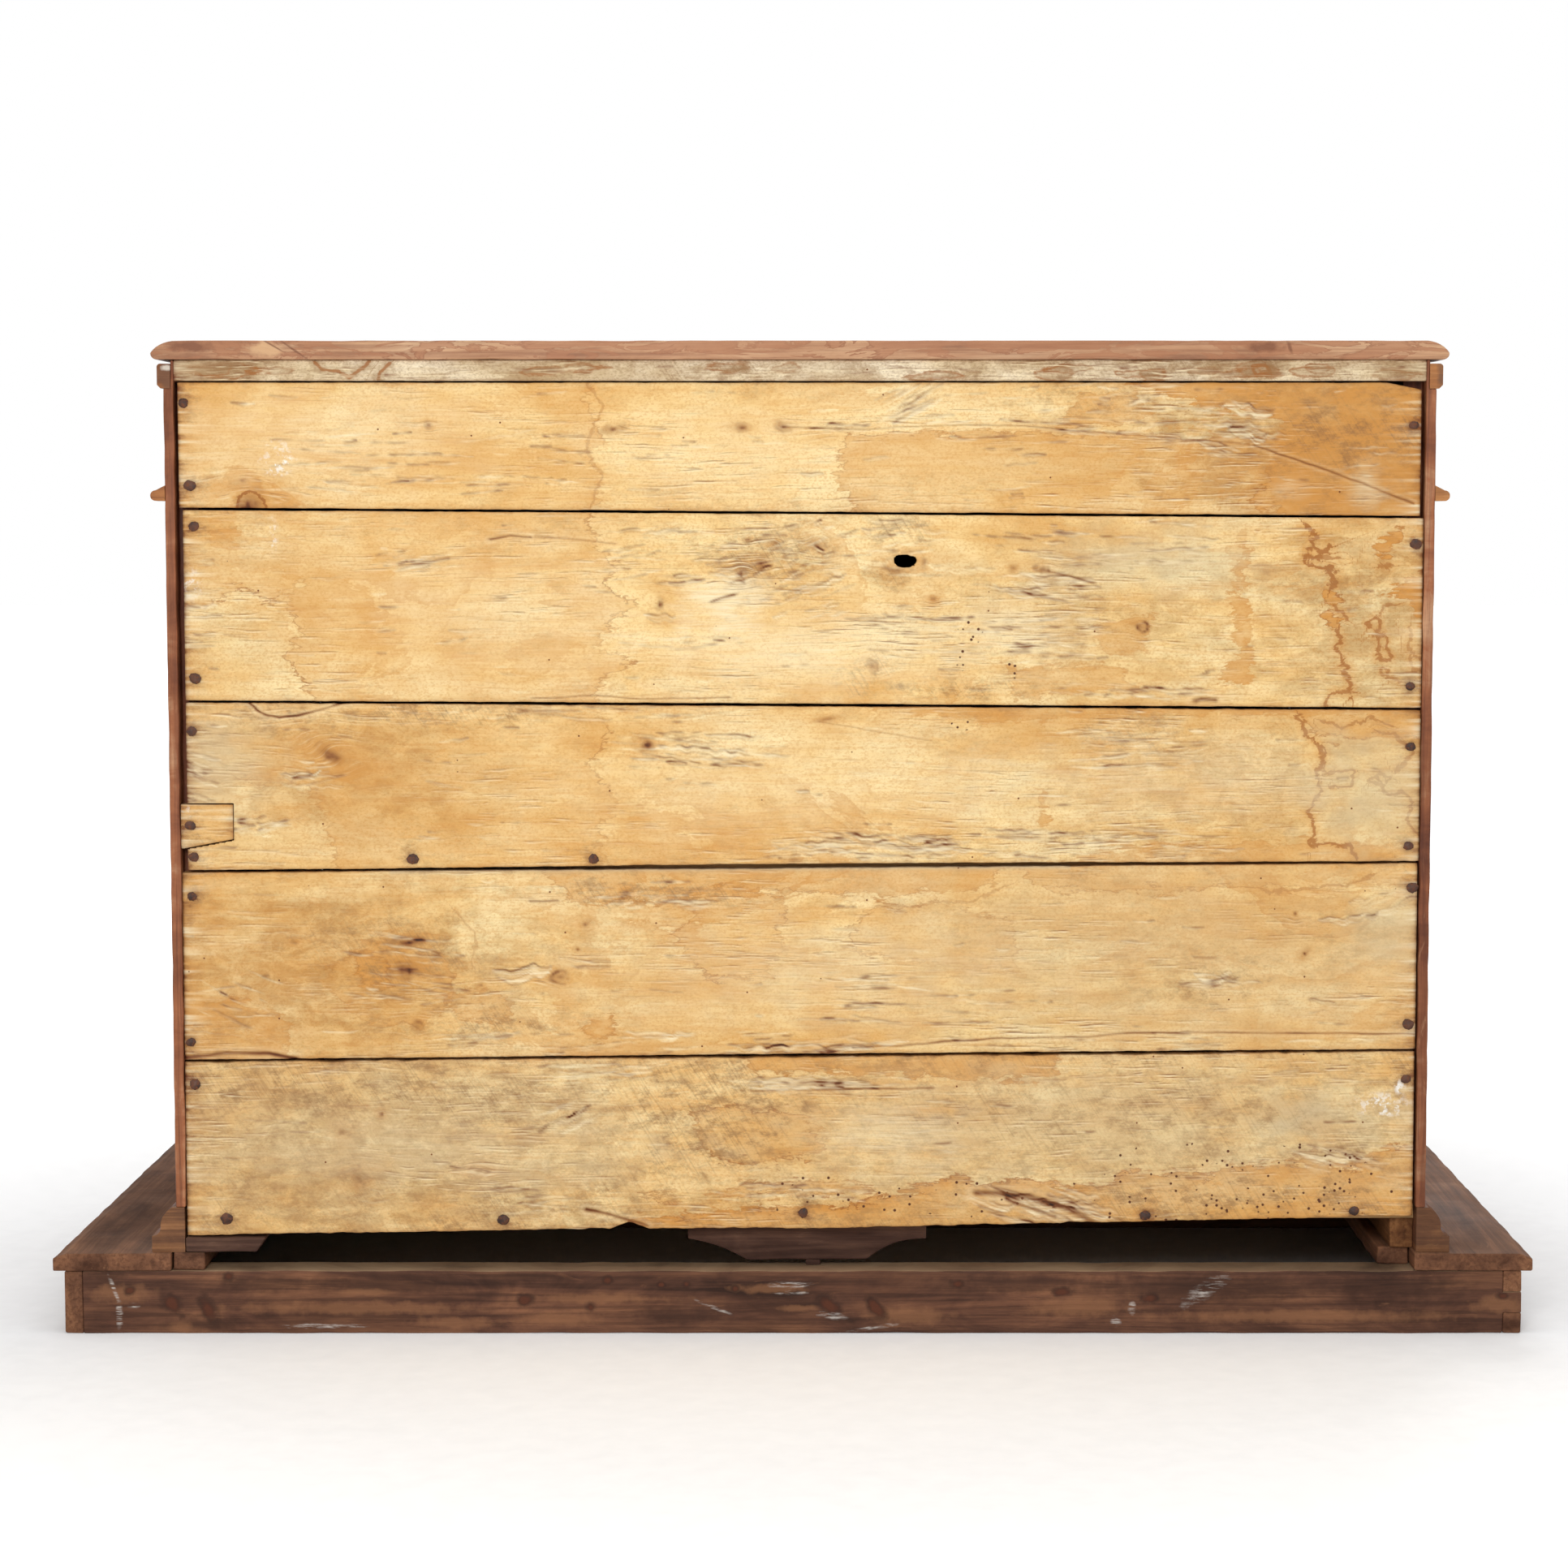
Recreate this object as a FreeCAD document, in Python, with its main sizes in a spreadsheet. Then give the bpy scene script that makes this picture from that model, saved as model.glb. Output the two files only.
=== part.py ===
"""Credenza: a walnut cupboard with two doors, two frieze drawers and a nailed plank back, on a low platform.

The doors face -Y and the planks face +Y. Z is up, and the origin is on the floor under the middle of the
platform. Left and right are those of a person standing before the doors, so left is -X.
"""
import FreeCAD, Part
import math
import os
import re

import Sketcher

V = FreeCAD.Vector

DIMENSIONS = {
    # Platform: an open frame of rails with boards on top
    "platform_width": 1700,
    "platform_depth": 740,
    "platform_rail_height": 73,
    "platform_board_thick": 20.5,
    "platform_board_width": 136,
    "platform_overhang": 12.5,
    "platform_bevel_width": 15,
    "platform_bevel_drop": 6,
    "side_rail_thick": 21,
    "end_rail_thick": 47,
    "rail_inset": 2,
    "bearer_width": 36,
    "bearer_gap": 1.5,
    "left_bearer_inset": 37,
    "right_bearer_inset": 6,
    # Case: it stands a little off the middle of its platform
    "carcass_shift": -9,
    "carcass_width": 1436,
    "carcass_depth": 600,
    "rear_setback": 8,
    "total_height": 1134.5,
    "skid_width": 27,
    "skid_height": 35,
    "skid_front_inset": 14,
    "skid_rear_inset": 23,
    "bottom_thick": 17,
    "side_thick": 34,
    "lip_width": 11.5,
    "rebate_depth": 24,
    "shelf_level": 536,
    "shelf_thick": 24,
    "shelf_setback": 58,
    "batten_width": 25,
    "batten_height": 30,
    "fit_gap": 0.5,
    # Top board and its thumb-moulded edge
    "top_thick": 21,
    "top_overhang": 13,
    "top_rear_overhang": 4,
    "top_nose_width": 24,
    "top_nose_level": 7,
    "top_nose_radius": 34,
    "top_quirk": 6,
    "top_quirk_radius": 7,
    "top_rear_rail_height": 24,
    # Plank back: five tapered boards, a let-in patch and forged nails
    "back_thick": 22,
    "back_recess": 2,
    "back_top": 1088,
    "back_worn_corner": 8,
    "back_worn_length": 40,
    "joint_gap": 2.4,
    "joint_1_left": 936.5,
    "joint_1_right": 946,
    "joint_2_left": 719,
    "joint_2_right": 727.5,
    "joint_3_left": 544,
    "joint_3_right": 533,
    "joint_4_left": 327.5,
    "joint_4_right": 315,
    "end_1_left": 5,
    "end_1_right": 4,
    "end_2_left": 1,
    "end_2_right": 8,
    "end_3_left": 1,
    "end_3_right": 8,
    "end_4_left": 2.5,
    "end_4_right": 1,
    "end_5_left": 3,
    "end_5_right": 1,
    "foot_edge_left": 135,
    "foot_edge_middle": 120,
    "foot_edge_right": 112,
    "notch_place": 903,
    "notch_width": 44,
    "notch_rise": 8,
    "knot_place": 588,
    "knot_level": 887.5,
    "knot_width": 29.5,
    "knot_height": 15.5,
    "patch_length": 60,
    "patch_top": 610,
    "patch_end_low": 559,
    "patch_inner_low": 570,
    "patch_gap": 0.6,
    "nail_head": 6.5,
    "nail_head_rise": 3,
    "nail_shank": 3.6,
    "nail_length": 46,
    # Rear feet: a flat corner pad and a shaped bracket on a shim
    "pad_inner": 606,
    "pad_outer": 698.5,
    "pad_slant": 11,
    "pad_height": 17,
    "pad_depth": 62,
    "pad_step": 26,
    "bracket_centre": -16,
    "bracket_width": 276,
    "bracket_foot_width": 139,
    "bracket_drop": 14,
    "bracket_ear": 24.5,
    "bracket_left_curve": 93,
    "bracket_right_curve": 207,
    "bracket_thick": 24,
    "shim_width": 17,
    "shim_depth": 23,
    "shim_side": 7,
    # Front frame
    "frame_thick": 28,
    "stile_width": 85,
    "centre_width": 85,
    "bottom_rail_height": 30,
    "belt_rail_level": 944,
    "belt_rail_height": 36,
    "tenon_length": 20,
    "tenon_thick": 10,
    "tenon_shoulder": 5,
    "field_margin": 18,
    "field_end_margin": 26,
    "field_rise": 6,
    "field_taper": -45,
    "stop_width": 60,
    "stop_height": 20,
    "stop_thick": 22,
    "stop_gap": 0.4,
    # Mouldings
    "cornice_level": 1081,
    "cornice_height": 28,
    "cornice_let_in": 8,
    "cornice_reach": 7,
    "cornice_step": 4,
    "belt_level": 954.5,
    "belt_height": 17.5,
    "belt_reach": 16.5,
    "belt_nose": 6,
    "base_let_in": 10,
    "base_reach": 28,
    "base_fillet": 18.5,
    "base_hollow": 10,
    "base_top": 14,
    "base_round": 24,
    # Doors
    "door_gap": 2,
    "door_thick": 26,
    "door_stile_width": 80,
    "door_rail_height": 90,
    "door_tenon_length": 40,
    "door_tenon_height": 60,
    "groove_width": 9,
    "groove_depth": 9,
    "tongue_thick": 8.4,
    "tongue_depth": 8,
    "panel_margin": 12,
    "panel_rise": 7.6,
    "panel_taper": -74,
    # Strap hinges on forged pintles
    "hinge_inset": 95,
    "hinge_offset": 7,
    "hinge_gap": 0.4,
    "knuckle_radius": 6.5,
    "knuckle_height": 24,
    "pin_radius": 3.5,
    "pin_clearance": 0.05,
    "leaf_thick": 3.5,
    "leaf_width": 17,
    "strap_length": 150,
    "strap_waist": 14,
    # Rim locks
    "lock_width": 84,
    "lock_height": 70,
    "lock_depth": 16,
    "lock_wall": 2,
    "lock_setback": 34,
    "bolt_length": 52,
    "bolt_height": 14,
    "bolt_thick": 8,
    "bolt_rise": 6,
    "bolt_front_gap": 3.5,
    "bolt_clearance": 0.5,
    "key_radius": 3,
    "key_reach": 46,
    "key_bow_radius": 13,
    "key_bow_wire": 2.6,
    "key_bit_length": 10,
    "key_bit_width": 8,
    "key_bit_thick": 3,
    "key_bit_gap": 2,
    "keyhole_radius": 4.5,
    "keyhole_width": 5,
    # Drawers, runners and knobs
    "drawer_gap": 2,
    "drawer_side_gap": 5,
    "drawer_front_thick": 24,
    "drawer_wall": 14,
    "drawer_bottom_thick": 9,
    "drawer_side_height": 76,
    "drawer_lift": 0.4,
    "drawer_field_margin": 16,
    "drawer_field_rise": 4,
    "runner_height": 25,
    "runner_bearing": 25,
    "guide_gap": 1.5,
    "guide_width": 15,
    "guide_height": 40,
    "knob_base": 11,
    "knob_base_thick": 3,
    "knob_neck": 6.5,
    "knob_neck_length": 9,
    "knob_radius": 16,
    "knob_length": 32,
    "knob_swell": 22,
    "knob_crown": 14,
    "knob_flat": 4,
}

# Nails as they were driven: place from the middle of the case and height
NAILS = (
    (696, 1065), (690, 972), (686, 926), (687, 754), (692, 694), (695, 586), (692, 550), (694, 505),
    (698, 337), (694, 288), (-693, 1040), (-697, 906), (-693, 745), (-694, 676), (-693, 563), (-698, 515),
    (-695, 358), (-694, 294), (660, 132), (342, 131), (-3, 139), (-396, 136), (-636, 141),
    (236, 548), (442, 548),
)

# Levels and planes that several pieces share
CASE_MIDDLE = "carcass_shift"
HALF = "carcass_width / 2"
REAR = "(platform_depth / 2 - rear_setback)"
FRONT = f"({REAR} - carcass_depth)"
FRAME_REAR = f"({FRONT} + frame_thick)"
BACK_INNER = f"({REAR} - rebate_depth)"
PLATFORM_TOP = "(platform_rail_height + platform_board_thick)"
FLOOR_UNDER = f"({PLATFORM_TOP} + skid_height)"
CASE_FLOOR = f"({FLOOR_UNDER} + bottom_thick)"
CASE_TOP = "(total_height - top_thick)"
BELT_TOP = "(belt_rail_level + belt_rail_height)"

# The opening of the left bay, between the left stile and the centre stile
BAY_LEFT = f"({CASE_MIDDLE} - {HALF} + stile_width)"
BAY_RIGHT = f"({CASE_MIDDLE} - centre_width / 2)"
DOOR_LEFT = f"({BAY_LEFT} + door_gap)"
DOOR_RIGHT = f"({BAY_RIGHT} - door_gap)"
DOOR_BOTTOM = f"({CASE_FLOOR} + bottom_rail_height + door_gap)"
DOOR_TOP = "(belt_rail_level - door_gap)"
LOCK_LEVEL = f"(({DOOR_BOTTOM} + {DOOR_TOP}) / 2)"

TURN_LEFT = FreeCAD.Rotation(V(0, 0, 1), 90)
TURN_BACK = FreeCAD.Rotation(V(0, 0, 1), 180)
Z_TO_Y = FreeCAD.Rotation(V(1, 0, 0), -90)
Z_TO_X = FreeCAD.Rotation(V(0, 1, 0), 90)

doc = FreeCAD.newDocument("credenza")
sheet = doc.addObject("Spreadsheet::Sheet", "Sheet")
for row, (alias, value) in enumerate(DIMENSIONS.items(), start=1):
    sheet.set(f"A{row}", alias)
    sheet.set(f"B{row}", str(value))
    sheet.setAlias(f"B{row}", alias)
doc.recompute()

nodes = []


def cell(text):
    """An expression in which every word is an alias of the sheet."""
    return re.sub(r"[a-z]\w*", lambda word: f"Sheet.{word.group()}", str(text))


def size(text):
    """The present value of such an expression."""
    return float(sheet.evalExpression(cell(text)))


def place(thing, corner, turn=FreeCAD.Rotation()):
    """Set where a piece's own origin lies, and its fixed turn."""
    thing.Placement = FreeCAD.Placement(V(), turn)
    for axis, text in zip("xyz", corner):
        thing.setExpression(f".Placement.Base.{axis}", cell(text))
    return thing


def made(kind, label, corner, turn=FreeCAD.Rotation(), **sizes):
    """A primitive of the given kind with its sizes bound to the sheet."""
    thing = doc.addObject(kind, label)
    thing.Label = label
    for name, text in sizes.items():
        thing.setExpression(name, cell(text))
    return place(thing, corner, turn)


def slab(label, corner, extent):
    """A straight board with its lowest corner at corner."""
    width, depth, height = extent
    return made("Part::Box", label, corner, Length=width, Width=depth, Height=height)


def rod(label, start, radius, length, turn=FreeCAD.Rotation()):
    """A round bar from start, upright unless turned."""
    return made("Part::Cylinder", label, start, turn, Radius=radius, Height=length)


def fuse(label, pieces):
    whole = doc.addObject("Part::MultiFuse", label)
    whole.Label = label
    whole.Shapes = pieces
    return whole


def cut(label, base, tools):
    """The base less every tool."""
    rest = doc.addObject("Part::Cut", label)
    rest.Label = label
    rest.Base = base
    rest.Tool = tools[0] if len(tools) == 1 else fuse(f"{label}_cuts", tools)
    return rest


def group(label, pieces):
    """Separate pieces of one kind that share a node."""
    several = doc.addObject("Part::Compound", label)
    several.Label = label
    several.Links = pieces
    return several


def mirrored(label, source, middle=CASE_MIDDLE):
    """The same piece on the other side of the plane x = middle."""
    twin = doc.addObject("Part::Mirroring", label)
    twin.Label = label
    twin.Source = source
    twin.Normal = V(1, 0, 0)
    twin.setExpression("Base.x", cell(middle))
    return twin


def node(piece):
    """Mark a piece as one that is written out."""
    nodes.append(piece)
    return piece


def body(label, corner, turn=FreeCAD.Rotation()):
    """An empty body at a place of its own."""
    whole = doc.addObject("PartDesign::Body", label)
    whole.Label = label
    return place(whole, corner, turn)


def origin_part(owner, role):
    """One of a body's own origin planes or axes."""
    return next(part for part in owner.Origin.OriginFeatures if part.Role == role)


def arc_between(start, end, radius, turn):
    """The short arc from start to end, as points in counterclockwise order."""
    chord = end - start
    middle = (start + end) * 0.5
    left = V(-chord.y, chord.x, 0).normalize()
    height = math.sqrt(max(radius ** 2 - (chord.Length / 2) ** 2, 0))
    side = 1 if turn == "left" else -1
    crown = middle - left * side * (radius - height)
    return (start, crown, end) if turn == "left" else (end, crown, start)


def outline(owner, plane, points):
    """A closed sketch through points that are pairs of expressions.

    A point with a radius and a turn after its pair is reached by an arc, which turns left (a swelling on an
    outline that runs counterclockwise) or right (a hollow).
    """
    sketch = owner.newObject("Sketcher::SketchObject", f"{owner.Name}_outline")
    sketch.AttachmentSupport = [(origin_part(owner, plane), "")]
    sketch.MapMode = "FlatFace"
    places = [V(size(point[0]), size(point[1]), 0) for point in points]
    count = len(points)
    ends = []
    for index in range(count):
        target = points[(index + 1) % count]
        start, end = places[index], places[(index + 1) % count]
        if len(target) == 2:
            sketch.addGeometry(Part.LineSegment(start, end))
            ends.append((1, 2))
            continue
        radius, turn = target[2:]
        sketch.addGeometry(Part.ArcOfCircle(*arc_between(start, end, size(radius), turn)))
        ends.append((1, 2) if turn == "left" else (2, 1))
    for index in range(count):
        follower = (index + 1) % count
        joined = index, ends[index][1], follower, ends[follower][0]
        sketch.addConstraint(Sketcher.Constraint("Coincident", *joined))
    for index, point in enumerate(points):
        for kind, text in zip(("DistanceX", "DistanceY"), point):
            limit = Sketcher.Constraint(kind, -1, 1, index, ends[index][0], size(text))
            sketch.setExpression(f"Constraints[{sketch.addConstraint(limit)}]", cell(text))
        if len(point) > 2:
            limit = Sketcher.Constraint("Radius", index - 1 if index else count - 1, size(point[2]))
            sketch.setExpression(f"Constraints[{sketch.addConstraint(limit)}]", cell(point[2]))
    return sketch


def rectangle(left, low, right, high):
    return [(left, low), (right, low), (right, high), (left, high)]


def pad(owner, plane, points, length, reverse=False, taper=None):
    """Raise an outline from one of the body's planes, with sloping sides where a taper is given."""
    raised = owner.newObject("PartDesign::Pad", f"{owner.Name}_pad")
    raised.Profile = outline(owner, plane, points)
    raised.setExpression("Length", cell(length))
    raised.Reversed = reverse
    if taper:
        raised.setExpression("TaperAngle", cell(taper))
    return raised


def prism(label, corner, plane, points, length, reverse=False, turn=FreeCAD.Rotation()):
    """A body of one padded outline."""
    whole = body(label, corner, turn)
    pad(whole, plane, points, length, reverse)
    return whole


def run(label, corner, turn, points, length, reach, mitred_start, mitred_end):
    """A moulded length along its own x, with the section in y and z and mitres where asked.

    The section's y runs outwards from 0 to reach, so a mitred end is longest at reach.
    """
    whole = prism(label, corner, "YZ_Plane", points, length, turn=turn)
    corners = []
    if mitred_start:
        corners.append([("0", "0"), (reach, "0"), ("0", reach)])
    if mitred_end:
        corners.append([(f"{length} - ({reach})", "0"), (length, "0"), (length, reach)])
    for points in corners:
        mitre = whole.newObject("PartDesign::Pocket", f"{whole.Name}_mitre")
        mitre.Profile = outline(whole, "XY_Plane", points)
        mitre.Type = "ThroughAll"
        mitre.Midplane = True
    return whole


def platform():
    """The open platform: rails, boards with a bevelled edge, and two bearers under the case."""
    edge = "(platform_width / 2 - platform_overhang)"
    rear_face = "(platform_depth / 2 - rail_inset)"
    front_face = "(platform_overhang - platform_depth / 2)"
    rail_inner = f"({rear_face} - end_rail_thick)"
    front_inner = f"({front_face} + end_rail_thick)"
    board_inner = "(platform_width / 2 - platform_board_width)"
    board_front_inner = "(platform_board_width - platform_depth / 2)"

    # The rear rail has one finger at its left end and butts against the right rail
    finger = slab(
        "platform_finger",
        (f"-{edge}", rail_inner, "platform_rail_height / 3"),
        ("side_rail_thick", "end_rail_thick", "platform_rail_height / 3"),
    )
    rear_core = slab(
        "platform_rear_core",
        (f"side_rail_thick - {edge}", rail_inner, "0"),
        (f"2 * ({edge} - side_rail_thick)", "end_rail_thick", "platform_rail_height"),
    )
    node(fuse("platform_rear_rail", [rear_core, finger]))
    node(slab(
        "platform_front_rail",
        (f"-{edge}", front_face, "0"),
        (f"2 * {edge}", "end_rail_thick", "platform_rail_height"),
    ))
    node(slab(
        "platform_cross_rail",
        (f"side_rail_thick - {edge}", f"{board_front_inner} - end_rail_thick / 2", "0"),
        (f"2 * ({edge} - side_rail_thick)", "end_rail_thick", "platform_rail_height"),
    ))
    side_size = ("side_rail_thick", f"{rear_face} - {front_inner}", "platform_rail_height")
    left_core = slab("platform_left_core", (f"-{edge}", front_inner, "0"), side_size)
    right_rail = slab("platform_right_rail", (f"{edge} - side_rail_thick", front_inner, "0"), side_size)
    node(group("platform_side_rails", [cut("platform_left_rail", left_core, [finger]), right_rail]))

    section = [
        ("0", "0"),
        ("platform_board_width", "0"),
        ("platform_board_width", "platform_board_thick - platform_bevel_drop"),
        ("platform_board_width - platform_bevel_width", "platform_board_thick"),
        ("0", "platform_board_thick"),
    ]
    left_board = node(run(
        "platform_left_board",
        (f"-{board_inner}", "-platform_depth / 2", "platform_rail_height"),
        TURN_LEFT, section, "platform_depth", "platform_board_width", True, False,
    ))
    node(mirrored("platform_right_board", left_board, "0"))
    node(run(
        "platform_front_board",
        ("platform_width / 2", board_front_inner, "platform_rail_height"),
        TURN_BACK, section, "platform_width", "platform_board_width", True, True,
    ))

    bearer_outer = f"({board_inner} - bearer_gap)"
    bearers = []
    for hand, start, inset in (
        ("left", f"-{bearer_outer}", "left_bearer_inset"),
        ("right", f"{bearer_outer} - bearer_width", "right_bearer_inset"),
    ):
        front = f"({board_front_inner} + bearer_gap)"
        bearers.append(slab(
            f"{hand}_bearer",
            (start, front, "platform_rail_height"),
            ("bearer_width", f"platform_depth / 2 - {inset} - {front}", "platform_board_thick"),
        ))
    node(group("platform_bearers", bearers))


def case():
    """Sides, bottom, shelf and the rear rail under the top."""
    outer = f"({CASE_MIDDLE} - {HALF})"
    height = f"({CASE_TOP} - {CASE_FLOOR})"
    core = slab(
        "left_side_core",
        (outer, FRAME_REAR, CASE_FLOOR),
        ("side_thick", "carcass_depth - frame_thick", height),
    )
    rebate = slab(
        "left_side_rebate",
        (f"{outer} + lip_width", BACK_INNER, CASE_FLOOR),
        ("side_thick - lip_width", "rebate_depth", height),
    )
    housing = slab(
        "left_side_housing",
        (outer, FRAME_REAR, "cornice_level"),
        ("cornice_let_in", "carcass_depth - frame_thick", f"{CASE_TOP} - cornice_level"),
    )
    left_side = node(cut("left_side", core, [rebate, housing]))
    node(mirrored("right_side", left_side))

    bottom_half = f"({HALF} - base_let_in)"
    bottom_front = f"({FRONT} + base_let_in)"
    node(slab(
        "bottom_board",
        (f"{CASE_MIDDLE} - {bottom_half}", bottom_front, FLOOR_UNDER),
        (f"2 * {bottom_half}", f"{BACK_INNER} - {bottom_front}", "bottom_thick"),
    ))

    inner = f"({HALF} - side_thick - fit_gap)"
    shelf_front = f"({FRONT} + shelf_setback)"
    node(slab(
        "shelf",
        (f"{CASE_MIDDLE} - {inner}", shelf_front, "shelf_level"),
        (f"2 * {inner}", f"{BACK_INNER} - {shelf_front}", "shelf_thick"),
    ))
    left_batten = slab(
        "left_batten",
        (f"{outer} + side_thick", shelf_front, "shelf_level - batten_height"),
        ("batten_width", f"{BACK_INNER} - {shelf_front}", "batten_height"),
    )
    node(group("shelf_battens", [left_batten, mirrored("right_batten", left_batten)]))

    rail_half = f"({HALF} - lip_width)"
    node(slab(
        "top_rear_rail",
        (f"{CASE_MIDDLE} - {rail_half}", BACK_INNER, f"{CASE_TOP} - top_rear_rail_height"),
        (f"2 * {rail_half}", "rebate_depth", "top_rear_rail_height"),
    ))


def top():
    """The top board: an end section and a front section, each with the thumb moulding, in common."""
    width = "(carcass_width + 2 * top_overhang)"
    depth = "(carcass_depth + top_overhang + top_rear_overhang)"
    corner = (f"{CASE_MIDDLE} - {width} / 2", f"{REAR} + top_rear_overhang - {depth}", CASE_TOP)
    near_nose = [
        ("top_nose_width", "top_thick"),
        ("0", "top_nose_level", "top_nose_radius", "left"),
        ("top_quirk", "0", "top_quirk_radius", "left"),
    ]
    far_nose = [
        (f"{width} - top_quirk", "0"),
        (width, "top_nose_level", "top_quirk_radius", "left"),
        (f"{width} - top_nose_width", "top_thick", "top_nose_radius", "left"),
    ]
    across = prism("top_across", corner, "XZ_Plane", far_nose + near_nose, depth, reverse=True)
    along = prism("top_along", corner, "YZ_Plane", [(depth, "0"), (depth, "top_thick")] + near_nose, width)
    board = doc.addObject("Part::Common", "top_board")
    board.Label = "top_board"
    board.Base = across
    board.Tool = along
    node(board)


def plank_back():
    """Five tapered planks, the patch in the third, and the nails."""
    span = "(carcass_width - 2 * lip_width)"
    corner = (f"{CASE_MIDDLE} - {span} / 2", f"{REAR} - back_recess", "0")

    def plank(label, points):
        return prism(label, corner, "XZ_Plane", points, "back_thick")

    def left(number):
        return f"end_{number}_left"

    def right(number):
        return f"({span} - end_{number}_right)"

    def under(number, hand):
        return f"(joint_{number}_{hand} - joint_gap / 2)"

    def over(number, hand):
        return f"(joint_{number}_{hand} + joint_gap / 2)"

    node(plank("back_board_1", [
        (left(1), over(1, "left")),
        (right(1), over(1, "right")),
        (right(1), "back_top"),
        ("end_1_left + back_worn_length", "back_top"),
        (left(1), "back_top - back_worn_corner"),
    ]))

    whole = plank("back_board_2_whole", [
        (left(2), over(2, "left")),
        (right(2), over(2, "right")),
        (right(2), under(1, "right")),
        (left(2), under(1, "left")),
    ])
    knot_x = f"{CASE_MIDDLE} - {span} / 2 + knot_place"
    knot_half = "(knot_width - knot_height) / 2"
    knot_cuts = [slab(
        "knot_middle",
        (f"{knot_x} - {knot_half}", BACK_INNER, "knot_level - knot_height / 2"),
        (f"2 * {knot_half}", "back_thick", "knot_height"),
    )]
    for end, sign in (("left", "-"), ("right", "+")):
        start = (f"{knot_x} {sign} {knot_half}", BACK_INNER, "knot_level")
        knot_cuts.append(rod(f"knot_{end}", start, "knot_height / 2", "back_thick", Z_TO_Y))
    node(cut("back_board_2", whole, knot_cuts))

    patch_inner = f"({span} - patch_length)"
    node(plank("back_board_3", [
        (left(3), over(3, "left")),
        (right(3), over(3, "right")),
        (right(3), "patch_end_low - patch_gap"),
        (f"{patch_inner} - patch_gap", "patch_inner_low - patch_gap"),
        (f"{patch_inner} - patch_gap", "patch_top + patch_gap"),
        (right(3), "patch_top + patch_gap"),
        (right(3), under(2, "right")),
        (left(3), under(2, "left")),
    ]))
    node(plank("back_patch", [
        (patch_inner, "patch_inner_low"),
        (f"{span} - fit_gap", "patch_end_low"),
        (f"{span} - fit_gap", "patch_top"),
        (patch_inner, "patch_top"),
    ]))

    node(plank("back_board_4", [
        (left(4), over(4, "left")),
        (right(4), over(4, "right")),
        (right(4), under(3, "right")),
        (left(4), under(3, "left")),
    ]))
    node(plank("back_board_5", [
        (left(5), "foot_edge_left"),
        (f"{span} / 2", "foot_edge_middle"),
        ("notch_place - notch_width / 2", "foot_edge_middle"),
        ("notch_place", "foot_edge_middle + notch_rise"),
        ("notch_place + notch_width / 2", "foot_edge_middle"),
        (right(5), "foot_edge_right"),
        (right(5), under(4, "right")),
        (left(5), under(4, "left")),
    ]))

    head, rise = size("nail_head"), size("nail_head_rise")
    shank, length = size("nail_shank"), size("nail_length")
    board_face = size(f"{REAR} - back_recess")
    middle = size(CASE_MIDDLE)
    inward = V(0, -1, 0)
    nails = []
    for across, height in NAILS:
        start = V(middle + across, board_face, height)
        cap = Part.makeCone(head, head / 3, rise, start, -inward)
        stem = Part.makeBox(shank, length, shank, start + V(-shank / 2, -length, -shank / 2))
        nails.append(cap.fuse(stem).removeSplitter())
    driven = doc.addObject("Part::Feature", "back_nails")
    driven.Label = "back_nails"
    driven.Shape = Part.makeCompound(nails)
    node(driven)


def feet():
    """What carries the case on the platform: two skids, a corner pad and the shaped rear bracket."""
    outer = f"({HALF} - base_let_in)"
    front = f"({FRONT} + skid_front_inset)"
    pad_front = f"({REAR} - pad_depth)"
    left_skid = slab(
        "left_skid",
        (f"{CASE_MIDDLE} - {outer}", front, PLATFORM_TOP),
        ("skid_width", f"{REAR} - skid_rear_inset - {front}", "skid_height"),
    )
    right_skid = slab(
        "right_skid",
        (f"{CASE_MIDDLE} + {outer} - skid_width", front, PLATFORM_TOP),
        ("skid_width", f"{pad_front} - fit_gap - {front}", "skid_height"),
    )
    node(group("side_skids", [left_skid, right_skid]))

    # The pad is full height under the case and steps down where it shows below the planks
    solid = prism(
        "right_pad_core", ("pad_inner", REAR, PLATFORM_TOP), "XZ_Plane",
        [
            ("pad_slant", "0"),
            ("pad_outer - pad_inner", "0"),
            ("pad_outer - pad_inner", "skid_height"),
            ("0", "skid_height"),
            ("0", "pad_height"),
        ],
        "pad_depth",
    )
    step = slab(
        "right_pad_step",
        ("pad_inner", f"{REAR} - pad_step", f"{PLATFORM_TOP} + pad_height"),
        ("pad_outer - pad_inner", "pad_step", "skid_height - pad_height"),
    )
    node(cut("right_rear_foot", solid, [step]))

    bracket_rear = f"({BACK_INNER} - fit_gap)"
    low = f"({PLATFORM_TOP} - bracket_drop)"
    drop = f"({FLOOR_UNDER} - {low})"
    foot_start = "((bracket_width - bracket_foot_width) / 2)"
    bracket = prism(
        "rear_bracket", ("bracket_centre - bracket_width / 2", bracket_rear, low), "XZ_Plane",
        [
            (foot_start, "0", "bracket_left_curve", "right"),
            (f"bracket_width - {foot_start}", "0"),
            ("bracket_width", f"{drop} - bracket_ear", "bracket_right_curve", "right"),
            ("bracket_width", drop),
            ("0", drop),
            ("0", f"{drop} - bracket_ear"),
        ],
        "bracket_thick",
    )
    shim_left = "bracket_centre - shim_side - shim_width / 2"
    shim = slab(
        "rear_shim",
        (shim_left, f"{bracket_rear} - shim_depth", "platform_rail_height"),
        ("shim_width", "shim_depth", f"{low} - platform_rail_height"),
    )
    node(group("centre_rear_foot", [bracket, shim]))


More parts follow.
